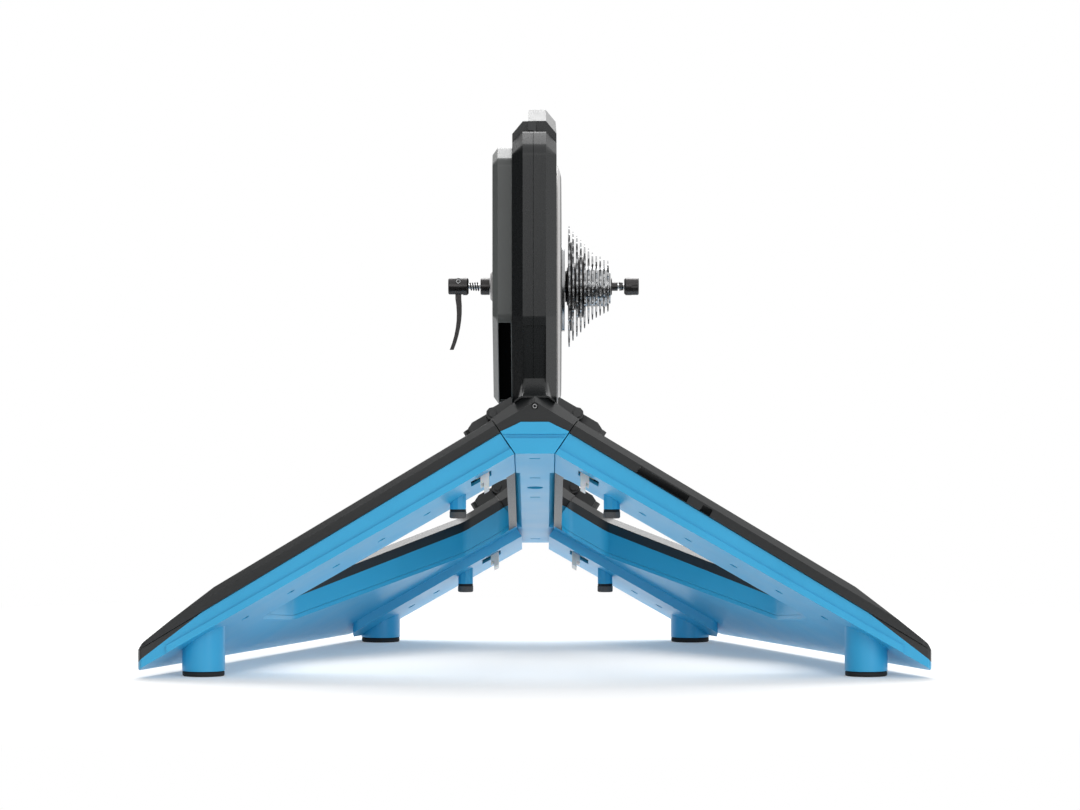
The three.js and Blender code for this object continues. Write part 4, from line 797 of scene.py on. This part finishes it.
# The plain inlays in the rear of the right cover: their corners in x and z, the depth of their
# pockets, how far the pockets start outside the cover, and how the inlays sit in them
INLAYS = (
    ((0.0987, 0.1985), (0.1448, 0.1704), (0.1415, 0.1643), (0.0939, 0.1928)),
    ((0.1572, 0.1624), (0.1663, 0.1576), (0.1629, 0.1514), (0.1534, 0.1572)),
)
INLAY_DEPTH = 0.0008
INLAY_OVERRUN = 0.001
INLAY_SUNK = 0.00015
INLAY_MARGIN_SHARE_X = 0.012
INLAY_MARGIN_SHARE_Z = 0.03
INLAY_EDGE = 0.0002


class TRAINER_OT_wings(bpy.types.Operator):
    """Dresses the blue wing castings and their black covers"""

    bl_idname = "trainer.wings"
    bl_label = "Wings"

    def execute(self, context):
        for side in SIDES:
            sign = 1 if side == "right" else -1
            inlays = INLAYS if side == "right" else ()
            dress(
                f"wing_casting_{side}", sizes().casting_edge,
                shaped=lambda made: self.nosed(made, sign),
                painted=lambda made: self.casting_paint(made, sign), others=("moulded_abs_cover",),
            )
            dress(
                f"wing_cover_{side}", sizes().plastic_edge,
                shaped=lambda made: self.pocketed(self.nosed(made, sign), inlays),
                painted=lambda made: self.cover_paint(made, sign), others=("powder_coat_blue",),
            )
            for index, corners in enumerate(inlays):
                self.inlay(f"inlay_{index}", corners, side)
            self.beam_cap(side, sign)
        return {"FINISHED"}

    def nosed(self, made, sign):
        """Brings the wing's tip to a blunt nose, undercut below and swept back above."""
        trimmed(made, (sign * NOSE_X, 0, NOSE_LOW_Z), (sign * NOSE_OUT, 0, -NOSE_RISE))
        trimmed(made, (sign * NOSE_X, 0, NOSE_HIGH_Z), (sign * NOSE_OUT, 0, NOSE_RISE))
        return made

    def pocketed(self, made, inlays):
        """Sinks a shallow pocket in the cover's rear face for each inlay."""
        for corners in inlays:
            made = cut(made, self.plate(corners, -INLAY_OVERRUN, INLAY_DEPTH))
        return made

    def plate(self, corners, start, end):
        """A four-cornered plate that faces backwards, given as depths from the wing's rear face."""
        made = flat_face([(x, WING_REAR_Y + start, z) for x, z in corners])
        thickened(made, (0, end - start, 0))
        return made

    def inlay(self, name, corners, side):
        """A plain gloss inlay, a hair below the face round it."""
        middle_x = sum(x for x, z in corners) / len(corners)
        middle_z = sum(z for x, z in corners) / len(corners)
        inner = [
            (x + (middle_x - x) * INLAY_MARGIN_SHARE_X, z + (middle_z - z) * INLAY_MARGIN_SHARE_Z)
            for x, z in corners
        ]
        made = self.plate(inner, INLAY_SUNK, INLAY_DEPTH)
        rounded(made, INLAY_EDGE)
        piece_from(made, name, NODE_BODY[f"wing_cover_{side}"], "cover_plastic", (), "polished_abs")

    def beam_cap(self, side, sign):
        """Closes the front beam's outer corner, which reaches out beyond the plate above it."""
        made = flat_face([(sign * x, y, BEAM_CAP_FOOT) for x, y in BEAM_CAP])
        for vert in thickened(made, (0, 0, BEAM_CAP_FOOT)):
            vert.co.z = BEAM_CAP_TOP - UNDER_FALL * abs(vert.co.x) - PITCH * vert.co.y
        piece_from(made, f"beam_cap_{side}", NODE_BODY[f"wing_casting_{side}"], "blue_paint")

    def casting_paint(self, made, sign):
        """The black lip along the spine's side of the opening, and the wrap of the cover at the tip."""
        point = Vector((0, FEET_Y, WRAP_HEIGHT))
        normal = Vector((sign * WRAP_FALL, PITCH, 1)).normalized()
        halved(made, point, normal)
        refinished(made, 1, lambda centre: (centre - point).dot(normal) > NEAR)
        start = FEET_Y + LIP_START
        end = FEET_Y + LIP_END
        halved(made, (sign * LIP_X, 0, 0), (1, 0, 0))
        for y in (start, end):
            halved(made, (0, y, 0), (0, 1, 0))
        refinished(made, 1, lambda centre: abs(centre.x) < LIP_X and start < centre.y < end)

    def cover_paint(self, made, sign):
        """The lining of the opening is painted blue below the cover's own edge."""
        point = Vector((0, FEET_Y, PARTING_HEIGHT))
        normal = Vector((sign * TOP_FALL, PITCH, 1)).normalized()
        halved(made, point, normal)
        refinished(made, 1, lambda centre: (centre - point).dot(normal) < -NEAR)


# The foot pads: the share of their height that the lower edge is rounded over, and, as shares of that
# rounding, where its middle lies and how much the upper edge is broken
PAD_EDGE_SHARE = 0.28
PAD_MIDDLE_SHARE = 0.35
PAD_TOP_SHARE = 0.5

# The peg tips: their rounding, whose middle lies a little further out than a pad's, then as shares of
# the height, the rounding and the radius, where the black collar starts, its step, and its radius
TIP_EDGE_SHARE = 0.14
TIP_MIDDLE_SHARE = 0.3
COLLAR_START_SHARE = 0.72
COLLAR_STEP_SHARE = 0.3
COLLAR_RADIUS_SHARE = 0.96
TIP_SEGMENTS = 40


class TRAINER_OT_feet(bpy.types.Operator):
    """Turns the rubber pads under the feet and the rubber tips of the rest pegs"""

    bl_idname = "trainer.feet"
    bl_label = "Feet"

    def execute(self, context):
        for side in SIDES:
            for end in ENDS:
                self.pad(f"foot_pad_{end}_{side}")
                self.tip(f"peg_tip_{end}_{side}")
        return {"FINISHED"}

    def measures(self, name):
        """The radius and the height of an upright node."""
        low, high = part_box(name)
        return (high.x - low.x) / 2, high.z - low.z

    def upright(self, name, profile, segments=64, grey_below=None):
        """A shape turned about Z on a node's own centre, from (height, radius) pairs."""
        foot = box_middle(name)
        foot.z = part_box(name)[0].z
        made = lathe(profile, (0, 0, 0), segments)
        turned(made, "Y", -90.0, foot)
        others = ()
        if grey_below:
            others = ("grey_rubber",)
            refinished(made, 1, lambda centre: centre.z < foot.z + grey_below)
        stands_for(made, name, others=others)

    def pad(self, name):
        """A foot's rubber pad, rounded at the floor."""
        radius, height = self.measures(name)
        edge = height * PAD_EDGE_SHARE
        middle = edge * PAD_MIDDLE_SHARE
        top = edge * PAD_TOP_SHARE
        self.upright(name, [
            (0, 0), (0, radius - edge), (middle, radius - middle), (edge, radius),
            (height - top, radius), (height, radius - top), (height, 0),
        ])

    def tip(self, name):
        """A peg's grey rubber tip under a slimmer black collar."""
        radius, height = self.measures(name)
        edge = height * TIP_EDGE_SHARE
        collar = height * COLLAR_START_SHARE
        slim = radius * COLLAR_RADIUS_SHARE
        self.upright(name, [
            (0, 0), (0, radius - edge), (edge * PAD_MIDDLE_SHARE, radius - edge * TIP_MIDDLE_SHARE),
            (edge, radius), (collar, radius), (collar + edge * COLLAR_STEP_SHARE, slim), (height, slim),
            (height, 0),
        ], TIP_SEGMENTS, collar)


# The rounding of the hinge straps and latches, and the angle from which their edges are rounded
HINGE_EDGE = 0.0007
HINGE_ANGLE = 35.0


class TRAINER_OT_hinges(bpy.types.Operator):
    """Dresses the hinge straps, their pins and the pale sliding latches"""

    bl_idname = "trainer.hinges"
    bl_label = "Hinges and latches"

    def execute(self, context):
        pin_edge = sizes().metal_edge
        for side in SIDES:
            for end in ENDS:
                dress(f"hinge_strap_{end}_{side}", HINGE_EDGE, angle=HINGE_ANGLE)
                dress(f"hinge_pin_{end}_{side}", pin_edge, angle=HINGE_ANGLE, finish="moulded_abs_cover")
                dress(f"latch_{end}_{side}", HINGE_EDGE, angle=HINGE_ANGLE)
        return {"FINISHED"}


# Centre frame and motor

# The angle from which the edges of the spine and the hub covers are rounded
SPINE_ANGLE = 25.0

# The screw in the rear hub cover: depths from its face, radii as shares of its own, and corners
SOCKET_DEPTH = 0.0013
HEAD_CHAMFER = 0.0004
HEAD_DEPTH = 0.0015
SOCKET_SHARE = 0.56
HEAD_FACE_SHARE = 0.84
SHANK_SHARE = 0.76
SOCKET_CORNERS = 6
HEAD_CORNERS = 24


class TRAINER_OT_spine(bpy.types.Operator):
    """Dresses the blue spine, the hub covers and their screw"""

    bl_idname = "trainer.spine"
    bl_label = "Spine and hubs"

    def execute(self, context):
        dress("centre_frame", sizes().casting_edge, angle=SPINE_ANGLE)
        for end in ENDS:
            dress(f"hub_cover_{end}", sizes().plastic_edge, angle=SPINE_ANGLE)
        self.socket_screw()
        return {"FINISHED"}

    def socket_screw(self):
        """A socket head screw: a chamfered round head with a hexagon sunk in it, and its shank."""
        low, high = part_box("cover_screw")
        radius = (high.x - low.x) / 2
        socket = radius * SOCKET_SHARE
        shank = radius * SHANK_SHARE
        rings = (
            (SOCKET_CORNERS, socket, SOCKET_DEPTH),
            (SOCKET_CORNERS, socket, 0.0),
            (HEAD_CORNERS, radius * HEAD_FACE_SHARE, 0.0),
            (HEAD_CORNERS, radius, HEAD_CHAMFER),
            (HEAD_CORNERS, radius, HEAD_DEPTH),
            (HEAD_CORNERS, shank, HEAD_DEPTH),
            (HEAD_CORNERS, shank, high.y - low.y),
        )
        made = bmesh.new()
        loops = []
        for index, (corners, size, depth) in enumerate(rings):
            ends = index in (0, len(rings) - 1)
            ring = bmesh.ops.create_circle(made, cap_ends=ends, radius=size, segments=corners)["verts"]
            bmesh.ops.translate(made, verts=ring, vec=(0, 0, -depth))
            loops.append([e for e in made.edges if all(v in ring for v in e.verts)])
        bridged(made, loops)
        bmesh.ops.recalc_face_normals(made, faces=made.faces[:])
        face = box_middle("cover_screw")
        face.y = low.y
        turned(made, "X", place=face)
        stands_for(made, "cover_screw")


# The flare between the rear hub and the housing's foot: its reach, its rise and its wall
FLARE_REAR_Y = FEET_Y - 0.0308
FLARE_FRONT_Y = FEET_Y + 0.0115
FLARE_HALF = 0.019
FLARE_INNER_HALF = 0.0105
FLARE_RISE = 0.024
FLARE_WALL = 0.0015
FLARE_FACES = 24

# The crown of the rear hub that the flare runs out on
CROWN_HEIGHT = 0.2581
CROWN_HALF = 0.013
CROWN_FALL = 0.737

# The left cover: how far its boss stands out, and the recess in its sloping underside, lined in
# near-black as painted shade
BOSS_PROUD = 0.0032
RECESS_FACING = (0, -0.54, -0.84)
RECESS_MARGIN = 0.0008
RECESS_DEPTH = 0.003

# The right cover: its bore, its rim, which is painted light grey as a highlight, and how its edge slopes
# inwards in two steps
COVER_BORE = 0.024
RIM_WIDTH = 0.0065
RIM_DEPTH = 0.0012
SLOPE_DEPTH = 0.0035
SLOPE_WIDTH = 0.006
FACE_MARGIN = 0.012
COVER_SEGMENTS = 128

# The shallow dish round the rotor's flange, and the slope of its edge
DISH_RADIUS = 0.05
DISH_DEPTH = 0.0008
DISH_SLOPE = 0.001

# The housing's edges are rounded in more steps, and from a smaller angle
HOUSING_STEPS = 3
HOUSING_ANGLE = 20.0


class TRAINER_OT_housing(bpy.types.Operator):
    """Dresses the two shells of the motor housing and the covers on them"""

    bl_idname = "trainer.housing"
    bl_label = "Motor housing"

    def execute(self, context):
        for side in SIDES:
            dress(f"housing_{side}", sizes().plastic_edge, HOUSING_STEPS, HOUSING_ANGLE)
        self.left_cover()
        self.right_cover()
        self.flare()
        return {"FINISHED"}

    def left_cover(self):
        """The satin cover on the left, with its light grey boss and its recess lined in near-black as
        painted shade.
        """
        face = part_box("motor_cover_left")[0].x + BOSS_PROUD
        dress(
            "motor_cover_left", sizes().plastic_edge, HOUSING_STEPS, HOUSING_ANGLE, "satin_painted_abs",
            shaped=self.left_recess, others=("painted_shade_black", "rim_highlight_abs"),
            painted=lambda made: refinished(made, 2, lambda centre: centre.x < face - NEAR),
        )

    def left_recess(self, made):
        """Sinks the cover's underside behind the axle, and gives it the near-black lining that paints
        its shade.
        """
        recessed(made, RECESS_FACING, RECESS_MARGIN, RECESS_DEPTH, 1)
        return made

    def right_cover(self):
        """The round cover on the drive side, dished round the rotor's flange, with a light grey rim that
        paints its highlight.
        """
        low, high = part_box("motor_cover_right")
        radius = (high.z - low.z) / 2
        dish = high.x - DISH_DEPTH
        profile = [
            (low.x, COVER_BORE), (low.x, radius), (low.x + RIM_DEPTH, radius),
            (low.x + SLOPE_DEPTH, radius - SLOPE_WIDTH), (high.x, radius - FACE_MARGIN),
            (high.x, DISH_RADIUS), (dish, DISH_RADIUS - DISH_SLOPE), (dish, COVER_BORE),
        ]
        made = lathe(profile, AXLE_POINT, COVER_SEGMENTS)
        # The outer rim is light grey: a painted highlight
        rim = radius - RIM_WIDTH
        refinished(made, 1, lambda centre: math.hypot(centre.y - AXLE_Y, centre.z - AXLE_Z) > rim)
        stands_for(made, "motor_cover_right", others=("rim_highlight_abs",))

    def flare(self):
        """The concave flare that runs from the housing's foot out over the rear hub's crown."""
        made = bmesh.new()
        bmesh.ops.create_grid(made, x_segments=FLARE_FACES, y_segments=FLARE_FACES, size=1.0)
        for vert in made.verts:
            x = vert.co.x * FLARE_HALF
            share = (vert.co.y + 1) / 2
            y = FLARE_REAR_Y + share * (FLARE_FRONT_Y - FLARE_REAR_Y)
            inwards = min(1.0, (FLARE_HALF - abs(x)) / (FLARE_HALF - FLARE_INNER_HALF))
            swell = inwards * inwards * (3 - 2 * inwards)
            crown = CROWN_HEIGHT - PITCH * (y - FEET_Y) - CROWN_FALL * max(0.0, abs(x) - CROWN_HALF)
            vert.co = (x, y, crown + FLARE_RISE * swell * share ** 3)
        thickened(made, (0, 0, -FLARE_WALL))
        piece_from(made, "housing_flare_rear", "stand", "shell_plastic")


# The rounding of the small turned and stamped parts, and the angle from which they are rounded
FINE_EDGE = 0.0003
THIN_EDGE = 0.0002
FINE_ANGLE = 40.0

# The hollow axle's bore and radius, and the segments of a small turned ring
AXLE_BORE = 0.0029
AXLE_RADIUS = 0.006
RING_SEGMENTS = 48


class TRAINER_OT_motor(bpy.types.Operator):
    """Gives the motor's inner parts, its axle and its flange their finishes"""

    bl_idname = "trainer.motor"
    bl_label = "Motor"

    def execute(self, context):
        for name in ("stator", "circuit_board", "bearing_left", "bearing_right"):
            repaint(name)
        dress("rotor", FINE_EDGE, 1, FINE_ANGLE, "nickel_plated_steel")
        low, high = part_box("hollow_axle")
        made = lathe(
            [(low.x, AXLE_BORE), (low.x, AXLE_RADIUS), (high.x, AXLE_RADIUS), (high.x, AXLE_BORE)],
            AXLE_POINT, RING_SEGMENTS, FINE_EDGE,
        )
        stands_for(made, "hollow_axle")
        return {"FINISHED"}


# Cassette

# The teeth of the sprockets from the largest to the smallest, and of those on the black carrier
COG_TEETH = (28, 25, 23, 21, 19, 17, 15, 14, 13, 12, 11)
CARRIED_TEETH = (28, 25, 23, 21)

# The bores of the sprockets: the two largest are open discs on the carrier's arms
OPEN_BORES = {28: 0.039, 25: 0.035}
COG_BORE = 0.0176
COG_THICKNESS = 0.0018
COG_CREASE = 30.0

# The spacers between sprockets: their radius, and that of the carrier's wider ones. A sprocket has a
# spacer where its node is thicker than the disc by this share
SPACER_RADIUS = 0.0198
SPIDER_RADIUS = 0.0305
SPIDER_TEETH = (23, 21)
SPACED_SHARE = 1.2

# A tooth from valley to valley: pairs of a share of the pitch and a share of the tooth's reach. The
# plain disc ends just below the valleys, and the tips are thinned by a share of the thickness
TOOTH_SHARES = (
    (0.0, 0.0), (0.14, 0.03), (0.24, 0.3), (0.36, 0.78), (0.44, 1.0),
    (0.56, 1.0), (0.64, 0.78), (0.76, 0.3), (0.86, 0.03),
)
DISC_SHARE = 0.985
TIP_THINNING_SHARE = 0.45


class TRAINER_OT_cassette(bpy.types.Operator):
    """Cuts the sprockets with rounded valleys, and dresses the carrier, freehub and lockring"""

    bl_idname = "trainer.cassette"
    bl_label = "Cassette"

    def execute(self, context):
        for teeth in COG_TEETH:
            self.cog(f"cog_{teeth}", teeth)
            self.spacer(f"cog_{teeth}", teeth)
        dress("freehub_body", FINE_EDGE, 1, FINE_ANGLE)
        dress("cog_carrier", FINE_EDGE, 1, FINE_ANGLE, "black_oxide_steel")
        dress("cassette_lockring", THIN_EDGE, 1, FINE_ANGLE)
        return {"FINISHED"}

    def cog(self, name, teeth):
        """One sprocket: a disc with its bore, cut with rounded valleys and thinned at the tips."""
        pitch_radius = sizes().chain_pitch / 2 / math.sin(math.pi / teeth)
        root = pitch_radius - sizes().tooth_depth
        reach = sizes().tooth_height + sizes().tooth_depth
        steps = len(TOOTH_SHARES)
        corners = teeth * steps
        made = bmesh.new()
        loops = []
        for inner in (OPEN_BORES.get(teeth, COG_BORE), root * DISC_SHARE, None):
            ring = bmesh.ops.create_circle(made, cap_ends=False, radius=1.0, segments=corners)["verts"]
            for i, vert in enumerate(ring):
                tooth, part = divmod(i, steps)
                share, height = TOOTH_SHARES[part]
                angle = (tooth + share) * math.tau / teeth
                radius = inner or root + reach * height
                vert.co = (radius * math.cos(angle), radius * math.sin(angle), 0)
            loops.append(list({e for v in ring for e in v.link_edges}))
        bridged(made, loops)
        bmesh.ops.solidify(made, geom=made.faces[:], thickness=COG_THICKNESS)
        bmesh.ops.recalc_face_normals(made, faces=made.faces[:])
        turned(made, "Y")
        lowest = min(v.co.x for v in made.verts)
        middle = lowest + COG_THICKNESS / 2
        for vert in made.verts:
            height = max(0.0, (math.hypot(vert.co.y, vert.co.z) - root) / reach)
            vert.co.x = middle + (vert.co.x - middle) * (1 - TIP_THINNING_SHARE * height)
        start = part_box(name)[0].x
        bmesh.ops.translate(made, verts=made.verts[:], vec=(start - lowest, AXLE_Y, AXLE_Z))
        stands_for(made, name, crease=COG_CREASE)

    def spacer(self, name, teeth):
        """The ring that fills a sprocket's node from its disc to the next one."""
        low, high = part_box(name)
        if high.x - low.x <= COG_THICKNESS * SPACED_SHARE:
            return
        start = low.x + COG_THICKNESS
        outer = SPIDER_RADIUS if teeth in SPIDER_TEETH else SPACER_RADIUS
        made = lathe(
            [(start, COG_BORE), (start, outer), (high.x, outer), (high.x, COG_BORE)],
            AXLE_POINT, RING_SEGMENTS, THIN_EDGE,
        )
        slot = "dark_steel" if teeth in CARRIED_TEETH else "bright_steel"
        piece_from(made, f"cog_spacer_{teeth}", NODE_BODY[name], slot)


# Axle ends and quick release

# The springs: their end radii, their turns and the steps of a turn, and the wire's sides and crease
SPRING_NARROW = 0.0034
SPRING_WIDE = 0.0041
LEFT_TURNS = 4
RIGHT_TURNS = 3
TURN_STEPS = 28
WIRE_SIDES = 10
WIRE_CREASE = 60.0

# The hollow end of the cam pin: its radius and bore, its two broken edges, its length and its place
PIN_RADIUS = 0.0024
PIN_BORE = 0.0012
PIN_CHAMFER = 0.0003
PIN_MOUTH = 0.0002
PIN_LENGTH = 0.004
PIN_PLACE = (-0.075, AXLE_Y - 0.0074, AXLE_Z + 0.005)
PIN_SEGMENTS = 32


class TRAINER_OT_release(bpy.types.Operator):
    """Dresses the axle caps, the skewer's head, lever, nut and rod, and winds the conical springs"""

    bl_idname = "trainer.release"
    bl_label = "Quick release"

    def execute(self, context):
        for name in ("axle_cap_left", "axle_cap_right", "skewer_head", "release_lever", "skewer_nut"):
            dress(name, sizes().metal_edge)
        repaint("skewer_rod")
        self.cam_pin()
        self.spring("skewer_spring_left", SPRING_NARROW, SPRING_WIDE, LEFT_TURNS)
        self.spring("skewer_spring_right", SPRING_WIDE, SPRING_NARROW, RIGHT_TURNS)
        return {"FINISHED"}

    def cam_pin(self):
        """The hollow end of the lever's cam pin, in the rear of the skewer's head."""
        made = lathe(
            [
                (PIN_MOUTH, PIN_BORE), (0, PIN_BORE + PIN_MOUTH), (0, PIN_RADIUS - PIN_CHAMFER),
                (PIN_CHAMFER, PIN_RADIUS), (PIN_LENGTH, PIN_RADIUS), (PIN_LENGTH, PIN_BORE),
            ],
            (0, 0, 0), PIN_SEGMENTS,
        )
        turned(made, "Z", place=PIN_PLACE)
        piece_from(made, "cam_pin_end", NODE_BODY["skewer_head"], "bright_steel")

    def spring(self, name, start_radius, end_radius, turns):
        """A conical spring of round wire between the two ends of its node."""
        low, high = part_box(name)
        wire = sizes().spring_wire
        start = low.x + wire
        end = high.x - wire
        steps = TURN_STEPS * turns
        made = bmesh.new()
        ring = bmesh.ops.create_circle(made, cap_ends=False, radius=wire, segments=WIRE_SIDES)["verts"]
        edges = list({e for v in ring for e in v.link_edges})
        # The spin only makes the tube's rings, which are then laid along the helix
        bmesh.ops.spin(
            made, geom=ring + edges, cent=(0, 0, 0), axis=(0, 1, 0), dvec=(0, 0, wire),
            angle=0.0, steps=steps, use_merge=False, use_duplicate=False,
        )
        for i, vert in enumerate(made.verts):
            station, corner = divmod(i, WIRE_SIDES)
            share = station / steps
            angle = math.tau * turns * share
            around = math.tau * corner / WIRE_SIDES
            radius = start_radius + (end_radius - start_radius) * share + wire * math.cos(around)
            x = start + (end - start) * share + wire * math.sin(around)
            vert.co = (x, radius * math.cos(angle), radius * math.sin(angle))
        bmesh.ops.holes_fill(made, edges=made.edges[:], sides=WIRE_SIDES)
        bmesh.ops.recalc_face_normals(made, faces=made.faces[:])
        bmesh.ops.translate(made, verts=made.verts[:], vec=AXLE_POINT)
        stands_for(made, name, crease=WIRE_CREASE)


class TRAINER_PT_panel(bpy.types.Panel):
    """Lists the trainer's pieces and sizes"""

    bl_idname = "TRAINER_PT_panel"
    bl_label = "Bike Trainer"
    bl_space_type = "VIEW_3D"
    bl_region_type = "UI"
    bl_category = "Trainer"

    def draw(self, context):
        for operator in OPERATORS:
            self.layout.operator(operator.bl_idname)
        for group in (context.scene.trainer_sizes, context.scene.trainer_colours):
            for name in group.__annotations__:
                self.layout.prop(group, name)


OPERATORS = (
    TRAINER_OT_stage,
    TRAINER_OT_wings,
    TRAINER_OT_feet,
    TRAINER_OT_hinges,
    TRAINER_OT_spine,
    TRAINER_OT_housing,
    TRAINER_OT_motor,
    TRAINER_OT_cassette,
    TRAINER_OT_release,
)
CLASSES = (TrainerSizes, TrainerColours, *OPERATORS, TRAINER_PT_panel)


def register():
    for made in CLASSES:
        bpy.utils.register_class(made)
    bpy.types.Scene.trainer_sizes = bpy.props.PointerProperty(type=TrainerSizes)
    bpy.types.Scene.trainer_colours = bpy.props.PointerProperty(type=TrainerColours)


def unregister():
    del bpy.types.Scene.trainer_colours
    del bpy.types.Scene.trainer_sizes
    for made in reversed(CLASSES):
        bpy.utils.unregister_class(made)


def main():
    register()
    make_materials()
    for operator in OPERATORS:
        group, name = operator.bl_idname.split(".")
        getattr(getattr(bpy.ops, group), name)()


if __name__ == "__main__":
    main()
